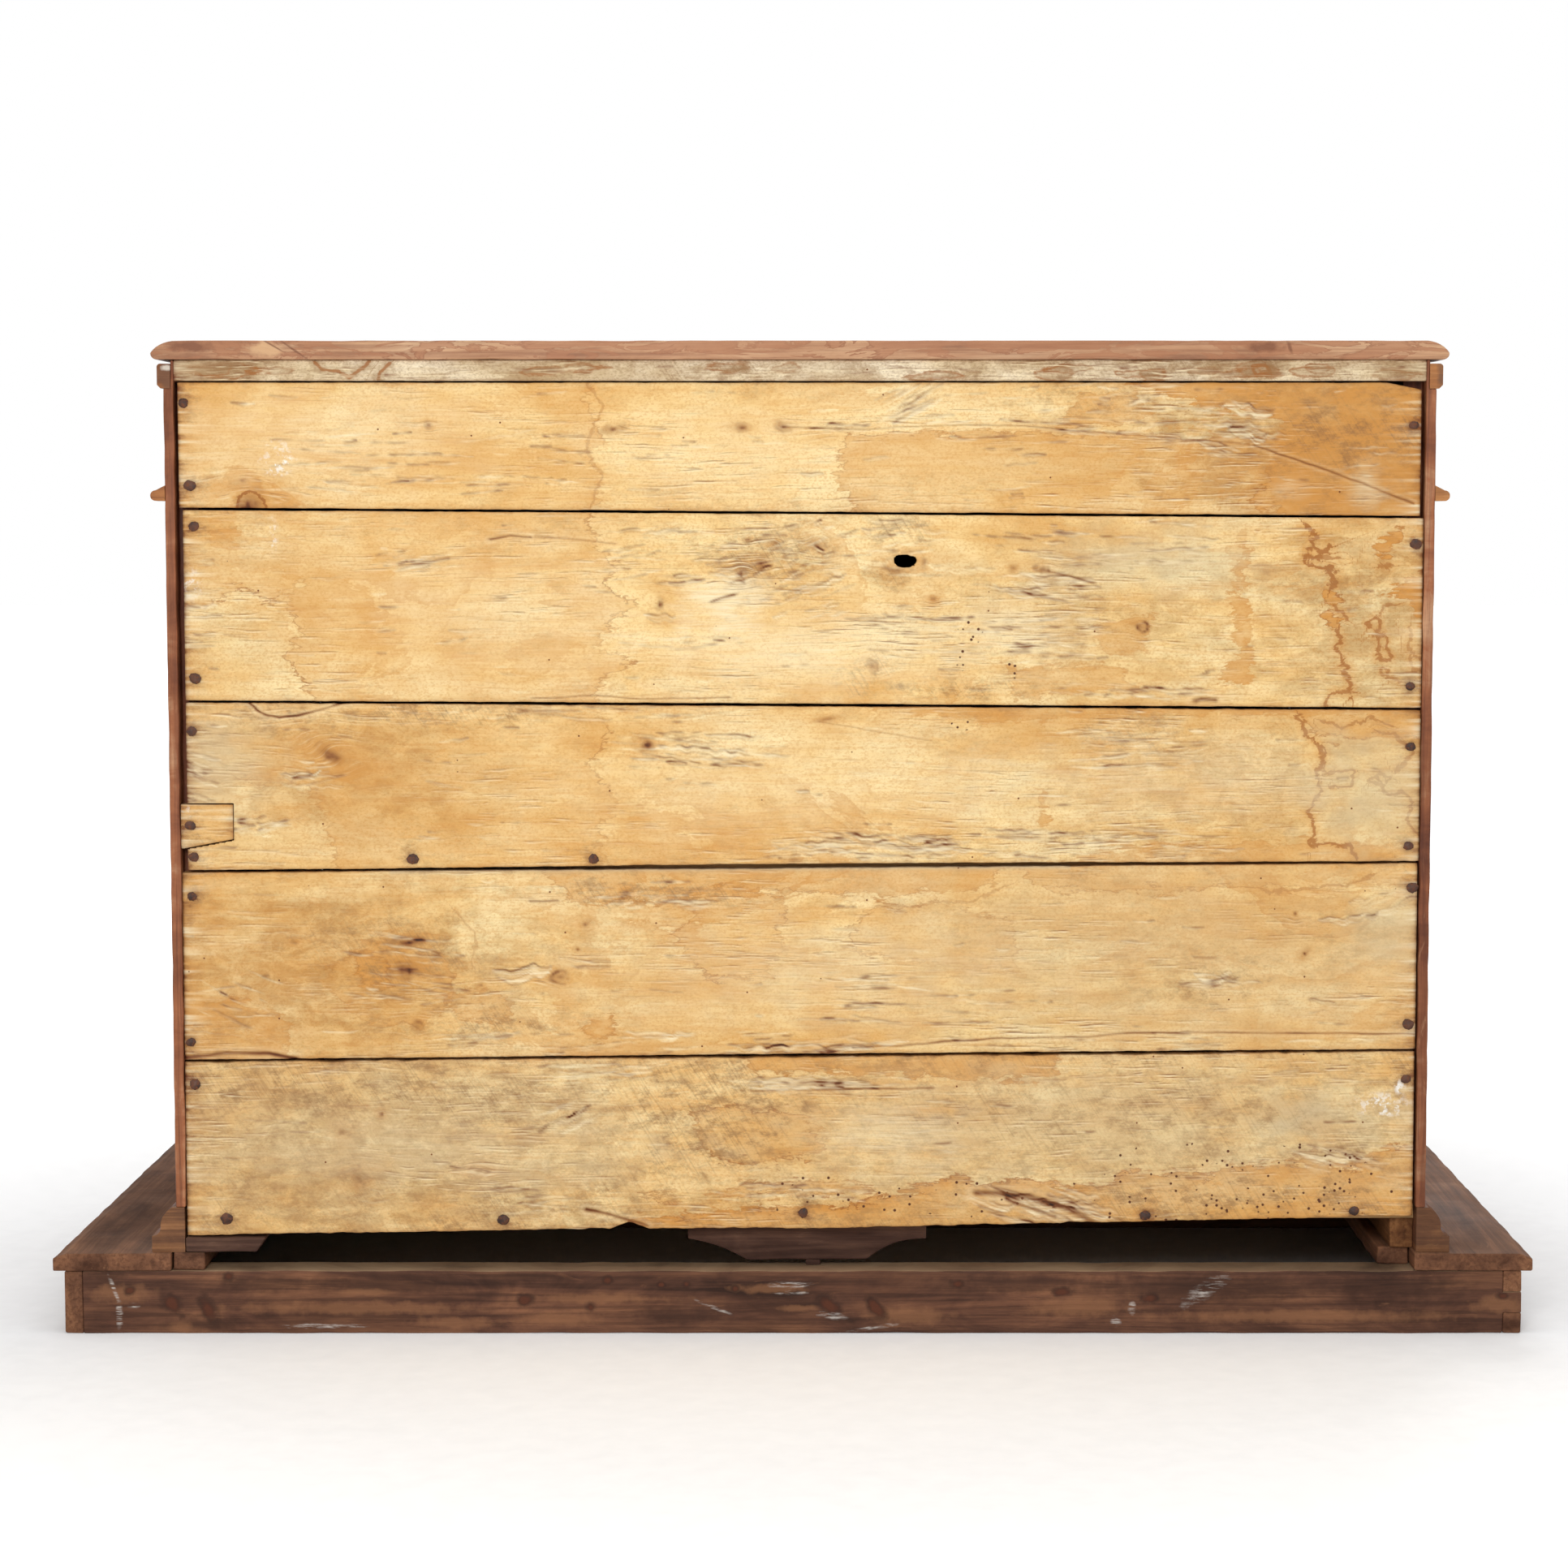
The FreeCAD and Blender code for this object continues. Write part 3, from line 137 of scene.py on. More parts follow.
class Shader:
    """The nodes of a material or a world, added one at a time."""

    def __init__(self, owner):
        self.owner = owner
        owner.use_nodes = True
        self.tree = owner.node_tree
        self.tree.nodes.clear()
        self.where = self.put("TexCoord").outputs["Object"]

    def put(self, kind, sockets=None, **settings):
        node = self.tree.nodes.new("ShaderNode" + kind)
        for key, value in settings.items():
            setattr(node, key, value)
        for key, value in (sockets or {}).items():
            if isinstance(value, bpy.types.NodeSocket):
                self.tree.links.new(value, node.inputs[key])
            else:
                node.inputs[key].default_value = value
        return node

    def number(self, operation, *values, clamp=False):
        return self.put("Math", dict(enumerate(values)), operation=operation, use_clamp=clamp).outputs[0]

    def times(self, first, second):
        return self.number("MULTIPLY", first, second)

    def plus(self, first, second, clamp=False):
        return self.number("ADD", first, second, clamp=clamp)

    def span(self, value, low, high, start=0.0, end=1.0):
        sockets = {"Value": value, "From Min": low, "From Max": high, "To Min": start, "To Max": end}
        return self.put("MapRange", sockets).outputs[0]

    def mix(self, share, first, second, blend="MIX"):
        sockets = {0: share, 6: first, 7: second}
        return self.put("Mix", sockets, data_type="RGBA", blend_type=blend).outputs[2]

    def noise(self, scale, detail=4.0, roughness=0.55, warp=0.0, where=None, shift=(0.0, 0.0, 0.0)):
        placed = self.put("Mapping", {"Vector": where or self.where, "Scale": scale, "Location": shift})
        sockets = {
            "Vector": placed.outputs[0], "Scale": 1.0, "Detail": detail, "Roughness": roughness,
            "Distortion": warp}
        return self.put("TexNoise", sockets).outputs[0]

    def dots(self, scale, radius, share):
        """Small round holes in a share of the cells."""
        cells = self.put("TexVoronoi", {"Vector": self.where, "Scale": scale})
        near = self.span(cells.outputs["Distance"], radius * 0.7, radius, 1.0, 0.0)
        picked = self.put("SeparateColor", {0: cells.outputs["Color"]}).outputs[0]
        return self.times(near, self.number("LESS_THAN", picked, share))

    def ramp(self, value, *stops):
        node = self.put("ValToRGB", {0: value})
        elements = node.color_ramp.elements
        for index, (place, colour) in enumerate(stops):
            element = elements[index] if index < 2 else elements.new(place)
            element.position, element.color = place, colour
        return node.outputs[0]

    def attribute(self, name):
        return self.put("Attribute", attribute_name=name).outputs["Fac"]

    def shown(self):
        """Whether a ray shows the thing to the camera, straight or in a reflection."""
        rays = self.put("LightPath").outputs
        straight = self.number("MAXIMUM", rays["Is Camera Ray"], rays["Is Glossy Ray"])
        return self.number("MAXIMUM", straight, rays["Is Transmission Ray"])

    def finish(self, colour, roughness, height, strength, distance, **fixed):
        bump = self.put("Bump", {"Height": height, "Strength": strength, "Distance": distance})
        sockets = {"Base Color": colour, "Roughness": roughness, "Normal": bump.outputs[0]}
        sockets.update({key.replace("_", " "): value for key, value in fixed.items()})
        surface = self.put("BsdfPrincipled", sockets)
        output = self.put("OutputMaterial", {"Surface": surface.outputs[0]})
        output.is_active_output = True
        return self.owner


PALE = srgb(251, 229, 174)
HONEY = srgb(244, 211, 147)
TAN = srgb(230, 186, 117)
AMBER = srgb(208, 146, 70)
TIDE = srgb(158, 94, 38)
# Pale raw wood, also used for painted highlights
RAW_AND_HIGHLIGHT = srgb(249, 231, 190)
GRIME = srgb(146, 108, 68)
ASH_AND_HIGHLIGHT = srgb(206, 188, 150)
# Tint for grime and for painted shade
GRIME_AND_SHADE_TINT = (0.62, 0.53, 0.44, 1.0)
SLIT = srgb(124, 72, 38)
PIT = srgb(24, 13, 8)
WORM = srgb(92, 52, 30)
RUST = srgb(104, 46, 28)
CHALK = srgb(252, 250, 244)
LAYERS = "_1", "_2"


def tides(sh, where, strength):
    """How strongly water has left its mark: each stain deepens towards an edge and stops there."""
    fingers = sh.noise((16.0, 12.0, 120.0), 4.0, 0.6, where=where)
    spread = sh.noise((3.4, 4.0, 6.0), 7.0, 0.6, 0.9, where=where)
    spread = sh.plus(spread, sh.span(fingers, 0.2, 0.8, -0.03, 0.03))
    none, some, most = (0, 0, 0, 1), (0.6, 0.6, 0.6, 1), (1, 1, 1, 1)
    level = sh.ramp(
        spread, (0.3, none), (0.405, some), (0.41, none), (0.44, none), (0.525, most), (0.531, none),
        (0.58, none), (0.655, some), (0.66, none))
    patchy = sh.span(sh.noise((2.6, 3.0, 4.4), 3.0, where=where, shift=(5.0, 1.0, 2.0)), 0.4, 0.62)
    return sh.times(sh.times(level, patchy), strength)


def bare_wood(name, pale, honey, tan, amber, wander=1.0):
    """Bare poplar: fibres along the board, with stains, tears and holes where the mesh says."""
    sh = Shader(bpy.data.materials.new(name))
    flow = sh.put("CombineXYZ", {2: sh.attribute("flow")}).outputs[0]
    grain = sh.put("VectorMath", {0: sh.where, 1: flow}, operation="ADD").outputs[0]
    mottle = sh.noise((7.0, 7.0, 13.0), 6.0, 0.62, 0.5)
    streak = sh.noise((2.4, 5.0, 30.0), 4.0, 0.55, 0.8, where=grain)
    tone = sh.plus(sh.times(mottle, 0.68), sh.times(streak, 0.32))
    colour = sh.ramp(tone, (0.38, tan), (0.47, honey), (0.6, pale))
    fibre = sh.noise((13.0, 40.0, 300.0), 4.0, 0.6, 0.4, where=grain)
    colour = sh.mix(sh.span(fibre, 0.32, 0.52, 0.32, 0.0), colour, tan, "MULTIPLY")
    grit = sh.noise((330.0, 330.0, 480.0), 3.0, 0.6)
    colour = sh.mix(sh.span(grit, 0.36, 0.52, 0.4, 0.0), colour, amber)
    # The shade field darkens through a mottle: partly grime, partly painted shade towards the sides and
    # bottom of the back
    blotch = sh.noise((26.0, 26.0, 40.0), 6.0, 0.66, 0.8, shift=(4.0, 1.0, 6.0))
    grime_and_shade = sh.times(sh.attribute("shade"), sh.span(blotch, 0.4, 0.6, 1.6, 0.5))
    colour = sh.mix(grime_and_shade, colour, GRIME_AND_SHADE_TINT, "MULTIPLY")

    water = tides(sh, grain, sh.attribute("stain"))
    colour = sh.mix(sh.times(water, 0.75), colour, amber)
    colour = sh.mix(sh.times(sh.number("POWER", water, 5.0), 0.55), colour, TIDE)
    mottled = sh.span(sh.noise((24.0, 30.0, 66.0), 5.0, 0.65), 0.32, 0.66, 0.6, 1.1)
    colour = sh.mix(sh.times(sh.attribute("amber"), mottled), colour, amber)
    fingers = sh.noise((30.0, 30.0, 150.0), 5.0, 0.62, 0.6, where=grain)
    fingers = sh.span(fingers, 0.25, 0.75, -11 * wander, 11 * wander)
    swirl = sh.span(sh.noise((44.0, 40.0, 58.0), 5.0, 0.62, 1.0), 0.25, 0.75, -8 * wander, 8 * wander)
    faded = sh.span(sh.noise((20.0, 20.0, 30.0), 3.0, shift=(2.0, 5.0, 8.0)), 0.36, 0.6, 0.25, 1.0)
    for layer in LAYERS:
        depth = sh.plus(sh.attribute("edge" + layer), sh.plus(fingers, swirl))
        soak = sh.times(sh.span(depth, -1.0, 1.0), sh.attribute("soak" + layer))
        colour = sh.mix(sh.times(soak, mottled), colour, amber)
        rim = sh.span(sh.number("ABSOLUTE", sh.number("SUBTRACT", depth, 1.0)), 0.0, 2.8, 1.0, 0.0)
        rim = sh.times(sh.times(rim, faded), sh.attribute("line" + layer))
        colour = sh.mix(rim, colour, TIDE)
    side = sh.number("ABSOLUTE", sh.plus(sh.attribute("side"), swirl))
    drip = sh.attribute("drip")
    colour = sh.mix(sh.times(sh.span(side, 0.0, 12.0, 0.6, 0.0), drip), colour, amber)
    colour = sh.mix(sh.times(sh.span(side, 2.0, 3.6, 0.85, 0.0), drip), colour, TIDE)
    # Pale ash tone; along the fourth plank's top arris this is a painted highlight
    colour = sh.mix(sh.attribute("ash"), colour, ASH_AND_HIGHLIGHT)

    specks = sh.span(sh.noise((46.0, 46.0, 90.0), 6.0, 0.72), 0.47, 0.64)
    sawn = sh.put("Mapping", {"Vector": sh.where, "Rotation": (0.0, math.radians(58), 0.0)}).outputs[0]
    sawn = sh.span(sh.noise((18.0, 30.0, 420.0), 3.0, 0.6, where=sawn), 0.52, 0.66)
    grey = sh.attribute("grey")
    scored = sh.times(sawn, sh.span(grey, 0.4, 0.9, 0.0, 0.4))
    dirt = sh.plus(sh.times(specks, grey), scored, clamp=True)
    colour = sh.mix(sh.times(dirt, 0.7), colour, GRIME)

    # Raw wood where the grain is torn or the pale field says; the pale field also holds a painted highlight
    # on the second plank
    torn = sh.span(sh.noise((22.0, 40.0, 420.0), 3.0, 0.6, 0.3, where=grain), 0.42, 0.6)
    raw_and_highlight = sh.times(sh.attribute("pale"), sh.span(torn, 0.0, 1.0, 0.45, 1.0))
    colour = sh.mix(raw_and_highlight, colour, RAW_AND_HIGHLIGHT)
    rough = sh.attribute("rough")
    slits = sh.noise((24.0, 60.0, 520.0), 3.0, 0.55, 0.5, where=grain, shift=(3.0, 7.0, 1.0))
    slit = sh.times(sh.span(slits, 0.58, 0.7), rough)
    # Painted highlight: the same slits set a little lower, mixed towards the pale raw colour, give each dark
    # slit a lit lower edge
    below = sh.noise((24.0, 60.0, 520.0), 3.0, 0.55, 0.5, where=grain, shift=(3.0, 7.0, 1.9))
    slit_highlight = sh.times(sh.span(below, 0.56, 0.7, 0.0, 0.7), rough)
    colour = sh.mix(slit_highlight, colour, RAW_AND_HIGHLIGHT)
    colour = sh.mix(sh.times(slit, 0.7), colour, SLIT)

    pins = sh.dots(58.0, 0.075, 0.14)
    colour = sh.mix(pins, colour, SLIT)
    worms = sh.dots(170.0, 0.33, sh.attribute("worm"))
    colour = sh.mix(worms, colour, WORM)
    dark = sh.attribute("dark")
    colour = sh.mix(sh.span(dark, 0.0, 0.65), colour, SLIT)
    colour = sh.mix(sh.span(dark, 0.6, 1.0), colour, PIT)
    red = sh.times(sh.attribute("rust"), sh.span(specks, 0.0, 1.0, 0.45, 1.0))
    colour = sh.mix(red, colour, RUST)
    white = sh.span(sh.noise((120.0, 90.0, 120.0), 4.0, 0.7), 0.5, 0.6)
    colour = sh.mix(sh.times(white, sh.attribute("chalk")), colour, CHALK)

    holes = sh.plus(pins, worms)
    relief = sh.plus(sh.times(fibre, 0.5), sh.times(raw_and_highlight, torn))
    relief = sh.number("SUBTRACT", relief, sh.plus(holes, slit))
    shine = sh.span(fibre, 0.3, 0.7, 0.62, 0.86)
    return sh.finish(colour, shine, relief, 0.45, 0.6 * MM, Specular_IOR_Level=0.3)


# Depth of an oval, so that it reaches through the board
FAR = 100.0


def marks_on(face, rows):
    """Ovals given in pixels of the photograph, as they lie on a face across the depth."""
    return [on_photo(x, y, face) + (wide * PIXEL, tall * PIXEL, turn) for x, y, wide, tall, turn in rows]


def spots(sh, marks):
    """Soft ovals on the rear face: the strongest of them at each point."""
    blur = sh.span(sh.noise((60.0, 60.0, 60.0), 4.0, 0.6), 0.3, 0.7, -0.35, 0.35)
    total = None
    for x, z, wide, tall, turn in marks:
        sockets = {
            "Vector": sh.where, "Location": (x, 0.0, z), "Rotation": (0.0, math.radians(turn), 0.0),
            "Scale": (wide, FAR, tall)}
        sized = sh.put("Mapping", sockets, vector_type="TEXTURE").outputs[0]
        reach = sh.put("VectorMath", {0: sized}, operation="LENGTH").outputs["Value"]
        oval = sh.span(sh.plus(reach, blur), 0.45, 1.1, 1.0, 0.0)
        total = oval if total is None else sh.number("MAXIMUM", total, oval)
    return total


GRAIN_ACROSS, GRAIN_ALONG = 55.0, 1.6
TONES = 0.34, 0.46, 0.56, 0.68
# How far from the rear edge the wax begins to fade, and where it has gone
WAX_START, WAX_END = 26 * MM, 4 * MM


def old_wood(name, axis, colours, gloss, dirt=0.35, dust=0.0, marks=(), scuffs=(), blots=None, wax=None,
             spread=1.0, sheen=0.3):
    """Stained or waxed wood with its grain along one axis, or along both level ones."""
    sh = Shader(bpy.data.materials.new(name))
    thin = {"x": (0,), "y": (1,), "z": (2,), "level": (0, 1)}[axis]

    def stretch(long, short):
        return tuple(long if i in thin else short for i in range(3))

    _, depth, height = sh.put("SeparateXYZ", {0: sh.where}).outputs
    figure = sh.noise(stretch(GRAIN_ALONG, GRAIN_ACROSS * 0.4), 6.0, 0.62, 1.4)
    line = sh.noise(stretch(GRAIN_ALONG * 3, GRAIN_ACROSS * 4), 4.0, 0.6, 0.5)
    pores = sh.noise(stretch(45.0, 1500.0), 2.0, 0.5)
    cloudy = sh.noise((7.0, 7.0, 16.0), 6.0, 0.65, 0.6)
    dark, glow = colours[0], colours[-1]
    tone = sh.plus(sh.times(figure, 0.55), sh.times(cloudy, 0.45))
    places = [0.5 + (place - 0.5) * spread for place in TONES]
    colour = sh.ramp(tone, *zip(places, colours))
    colour = sh.mix(sh.span(line, 0.34, 0.56, 0.55, 0.0), colour, dark)
    colour = sh.mix(sh.span(pores, 0.62, 0.74, 0.0, 0.5), colour, dark)
    patches = sh.noise((4.0, 4.0, 5.0), 5.0, 0.6)
    colour = sh.mix(sh.span(patches, 0.42, 0.72, 0.0, dirt), colour, dark)
    wear = sh.span(sh.noise(stretch(14.0, 90.0), 6.0, 0.7, 0.8), 0.6, 0.74, 0.0, 0.5)
    colour = sh.mix(wear, colour, glow)
    bare = sh.span(depth, REAR - WAX_START, REAR - WAX_END) if wax else None

    def at_rear(share):
        return sh.times(share, bare) if wax else share

    if blots:
        stained, edge, low, high = blots
        blot = sh.noise((13.0, 13.0, 50.0), 5.0, 0.6, 1.3)
        blot = sh.plus(blot, sh.span(height, low, high, -0.08, 0.06))
        colour = sh.mix(at_rear(sh.span(blot, 0.47, 0.5, 0.0, 0.6)), colour, stained)
        rim = sh.ramp(blot, (0.47, (0, 0, 0, 1)), (0.488, (1, 1, 1, 1)), (0.53, (0, 0, 0, 1)))
        faint = sh.span(cloudy, 0.4, 0.6, 0.1, 0.6)
        colour = sh.mix(at_rear(sh.times(rim, faint)), colour, edge)
    for ovals, shade, amount in marks:
        colour = sh.mix(at_rear(sh.times(spots(sh, ovals), amount)), colour, shade)
    if scuffs:
        scratch = sh.span(sh.noise(stretch(40.0, 420.0), 4.0, 0.7), 0.46, 0.62, 0.0, 0.8)
        colour = sh.mix(sh.times(spots(sh, scuffs), scratch), colour, SCUFF)
    if wax:
        colour = sh.mix(sh.span(bare, 0.0, 1.0, 1.0, 0.0), colour, wax, "MULTIPLY")
    if dust:
        facing = sh.put("SeparateXYZ", {0: sh.put("NewGeometry").outputs["Normal"]}).outputs[2]
        layer = sh.times(sh.span(facing, 0.5, 0.9), sh.span(cloudy, 0.3, 0.6, 0.3, 1.0))
        colour = sh.mix(sh.times(layer, dust), colour, DUST)
    shine = sh.span(patches, 0.3, 0.75, gloss, gloss + 0.25)
    relief = sh.number("SUBTRACT", sh.times(line, 0.7), sh.times(pores, 0.5))
    return sh.finish(colour, shine, relief, 0.35, 0.7 * MM, Specular_IOR_Level=sheen)


def iron(name, dark, mid, rust, shine, metal):
    """Hammered iron with rust in its hollows."""
    sh = Shader(bpy.data.materials.new(name))
    dents = sh.noise((90.0, 90.0, 90.0), 3.0, 0.5)
    pitting = sh.noise((260.0, 260.0, 260.0), 6.0, 0.7)
    colour = sh.ramp(dents, (0.35, dark), (0.65, mid))
    colour = sh.mix(sh.span(pitting, 0.5, 0.66, 0.0, 0.85), colour, rust)
    rough = sh.span(pitting, 0.35, 0.65, shine, shine + 0.3)
    relief = sh.plus(dents, sh.times(pitting, 0.4))
    return sh.finish(colour, rough, relief, 0.5, 0.5 * MM, Metallic=metal)


WALNUT = srgb(66, 34, 20), srgb(98, 54, 32), srgb(128, 76, 46), srgb(158, 104, 66)
TOP = srgb(128, 82, 58), srgb(184, 136, 100), srgb(202, 158, 120), srgb(218, 182, 144)
SIDE = srgb(80, 40, 24), srgb(134, 77, 47), srgb(160, 98, 62), srgb(200, 152, 114)
BLOCK = srgb(110, 62, 32), srgb(162, 104, 58), srgb(184, 126, 74), srgb(204, 154, 104)
FOOT = srgb(70, 42, 26), srgb(108, 70, 44), srgb(134, 90, 56), srgb(166, 118, 76)
BRACKET = srgb(54, 36, 30), srgb(84, 60, 50), srgb(104, 76, 62), srgb(134, 102, 82)
RAIL = srgb(52, 33, 25), srgb(96, 63, 48), srgb(122, 82, 60), srgb(152, 104, 74)
BOARD = srgb(72, 46, 34), srgb(114, 78, 58), srgb(134, 92, 67), srgb(160, 114, 82)
INNER = srgb(150, 112, 70), srgb(178, 138, 90), srgb(200, 162, 112), srgb(216, 182, 134)
GREYED = srgb(250, 236, 206), srgb(236, 216, 178), srgb(206, 180, 138), srgb(150, 112, 70)
DUST = srgb(164, 138, 108)
SCUFF = srgb(196, 188, 180)
KNOT_RIM = srgb(46, 29, 23)
KNOT_HEART = srgb(90, 50, 34)

RAIL_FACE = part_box("platform_rear_rail")[1].y
# x, y, half width, half height, turn
RAIL_SHADES = marks_on(RAIL_FACE, (
    (330, 1582, 70, 11, 0), (500, 1583, 150, 12, 0), (250, 1632, 60, 12, 0), (1250, 1582, 120, 13, 0),
    (1480, 1586, 190, 18, 0), (1720, 1586, 100, 18, 0), (640, 1574, 70, 7, 0), (840, 1620, 60, 10, 0),
    (1740, 1620, 20, 14, 0), (125, 1572, 40, 7, 0)))
RAIL_LIGHTS = marks_on(RAIL_FACE, (
    (150, 1594, 44, 13, 0), (450, 1592, 40, 5, 0), (440, 1612, 170, 9, 0), (560, 1630, 60, 8, 0),
    (740, 1600, 90, 7, 0), (690, 1626, 60, 10, 0), (950, 1588, 54, 7, 0), (1120, 1622, 54, 13, 0),
    (1330, 1610, 64, 14, 0), (1600, 1622, 190, 9, 0), (1850, 1608, 40, 12, 0), (225, 1636, 16, 9, 0),
    (985, 1612, 26, 5, 0)))
RAIL_KNOTS = (
    (212, 1607, 13, 21, 38), (257, 1614, 11, 23, 26), (1022, 1609, 19, 13, -30), (1080, 1613, 11, 19, 36),
    (646, 1602, 14, 9, 0), (160, 1590, 9, 7, 0), (748, 1578, 8, 7, 0), (815, 1583, 7, 5, 0),
    (846, 1582, 7, 6, 0), (906, 1588, 6, 5, 0), (1180, 1582, 10, 7, 0), (728, 1611, 8, 7, 0),
    (282, 1572, 8, 7, 0), (1415, 1600, 13, 8, 0), (1308, 1592, 16, 8, 0), (1852, 1597, 9, 5, 0))
HEART = 0.62
RAIL_HEARTS = marks_on(
    RAIL_FACE, [(x, y, wide * HEART, tall * HEART, turn) for x, y, wide, tall, turn in RAIL_KNOTS])
RAIL_RIMS = marks_on(RAIL_FACE, RAIL_KNOTS)
RAIL_SCUFFS = marks_on(RAIL_FACE, (
    (978, 1583, 30, 4, 0), (972, 1593, 22, 3, 0), (880, 1611, 22, 2.5, -22), (147, 1620, 4, 20, 0),
    (141, 1590, 3, 20, 20), (1024, 1621, 20, 5, -8), (1485, 1590, 38, 10, 30), (400, 1634, 50, 3.5, 0),
    (1075, 1636, 34, 2.5, 8), (1395, 1612, 5, 8, 0), (1375, 1628, 8, 6, -40), (165, 1610, 8, 5, 0)))
RAIL_MARKS = (
    (RAIL_SHADES, RAIL[0], 0.5), (RAIL_LIGHTS, srgb(150, 104, 72), 0.5), (RAIL_RIMS, KNOT_RIM, 0.85),
    (RAIL_HEARTS, KNOT_HEART, 0.9))
TOP_LOW, TOP_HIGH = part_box("top_board")
TOP_MARKS = (
    (marks_on(TOP_HIGH.y, ((328, 431, 26, 10, 0), (330, 428, 14, 6, -30))), srgb(214, 172, 128), 0.8),
    (marks_on(TOP_HIGH.y, (
        (362, 431, 24, 1.6, -34), (338, 427, 20, 1.3, -30), (1590, 430, 3, 10, 20), (1560, 428, 26, 7, 0),
        (232, 427, 30, 8, 0))), srgb(112, 66, 44), 0.7),
)
CORNICE_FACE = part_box("cornice_moulding")[1].y
BLOCK_MARKS = (
    (marks_on(CORNICE_FACE, ((206, 465, 16, 20, 0), (1776, 464, 6, 22, 0))), srgb(104, 72, 54), 0.75),
    (marks_on(CORNICE_FACE, ((206, 453, 8, 3.5, 0),)), srgb(236, 226, 210), 0.7),
)

plank_wood = bare_wood("poplar_plank", PALE, HONEY, TAN, AMBER)
patch_wood = bare_wood("poplar_patch", HONEY, TAN, srgb(214, 166, 96), AMBER)
grey_wood = bare_wood("grey_poplar", *GREYED, wander=0.35)
walnut = {axis: old_wood("walnut_" + axis, axis, WALNUT, 0.38) for axis in ("x", "z")}
side_wood = old_wood("walnut_side", "z", SIDE, 0.5, dirt=0.5, wax=(0.5, 0.38, 0.3, 1.0), spread=0.75)
top_wood = old_wood(
    "walnut_top", "x", TOP, 0.45, dirt=0.2, marks=TOP_MARKS, wax=(0.36, 0.26, 0.2, 1.0),
    blots=(srgb(168, 112, 78), srgb(128, 74, 46), TOP_LOW.z, TOP_HIGH.z))
block_wood = old_wood(
    "walnut_block", "level", BLOCK, 0.55, dirt=0.45, marks=BLOCK_MARKS, wax=(0.38, 0.3, 0.3, 1.0))
foot_wood = old_wood("walnut_foot", "x", BRACKET, 0.65, sheen=0.1, spread=0.75)
skid_wood = old_wood("walnut_skid", "y", FOOT, 0.65, sheen=0.1, spread=0.75)
base_wood = old_wood("walnut_base", "level", FOOT, 0.55, wax=(0.82, 0.62, 0.52, 1.0), spread=0.75)
rail_wood = old_wood(
    "dark_walnut_rail", "x", RAIL, 0.5, dirt=0.4, dust=0.85, marks=RAIL_MARKS, scuffs=RAIL_SCUFFS,
    spread=0.75, sheen=0.15)
dark_wood = {
    axis: old_wood("dark_walnut_" + axis, axis, BOARD, 0.6, dirt=0.4, dust=0.08, spread=0.8, sheen=0.08)
    for axis in ("x", "y")}
inner_wood = {axis: old_wood("inner_poplar_" + axis, axis, INNER, 0.7) for axis in ("x", "y")}
forged = iron("forged_iron", srgb(40, 36, 34), srgb(78, 70, 66), srgb(84, 52, 36), 0.4, 0.6)
nail_iron = iron("nail_iron", srgb(46, 26, 18), srgb(92, 56, 38), srgb(118, 66, 36), 0.55, 0.05)


# Mesh building

SAME = 1e-6


def add(name, data):
    """A new object in the scene."""
    made = bpy.data.objects.new(name, data)
    bpy.context.scene.collection.objects.link(made)
    return made


def place(name, mesh, body, material, slot):
    """A piece of the object that rides on a body."""
    made = add(name, mesh)
    mesh.materials.clear()
    mesh.materials.append(material)
    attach(made, body)
    return made


def shaped(name, shape, body, material, slot):
    """A piece from a shape that is now finished."""
    mesh = bpy.data.meshes.new(name)
    shape.to_mesh(mesh)
    shape.free()
    return place(name, mesh, body, material, slot)


def surface(node):
    """A CAD node's surface, to find where lines meet it."""
    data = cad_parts[node].data
    corners = [vertex.co for vertex in data.vertices]
    return BVHTree.FromPolygons(corners, [polygon.vertices for polygon in data.polygons])


def solids(node):
    """The box of each separate solid in a CAD node."""
    shape = bmesh.new()
    shape.from_mesh(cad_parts[node].data)
    bmesh.ops.remove_doubles(shape, verts=shape.verts, dist=SAME)
    left, boxes = set(shape.verts), []
    while left:
        group, edge = [], [left.pop()]
        while edge:
            vertex = edge.pop()
            group.append(vertex.co.copy())
            for link in vertex.link_edges:
                other = link.other_vert(vertex)
                if other in left:
                    left.remove(other)
                    edge.append(other)
        points = np.array(group)
        boxes.append((Vector(points.min(0)), Vector(points.max(0))))
    shape.free()
    return sorted(boxes, key=lambda box: tuple(round(value, 4) for value in box[0]))


# What bare_wood reads from the mesh; all but the signed ones are kept from 0 to 1
SIGNED = ("edge_1", "edge_2", "side", "flow")
FIELDS = SIGNED + (
    "soak_1", "soak_2", "line_1", "line_2", "drip", "shade", "amber", "stain", "ash", "grey", "pale", "rough",
    "worm", "dark", "rust", "chalk")
# In pixels: how far from a stain's edge its distance counts, and how far a nail's rust spreads
REACH = 60.0
RUST_SPREAD = 9.0
# A board's faces are smooth where they look this far to the rear or the front
SMOOTH_FACING = 0.3


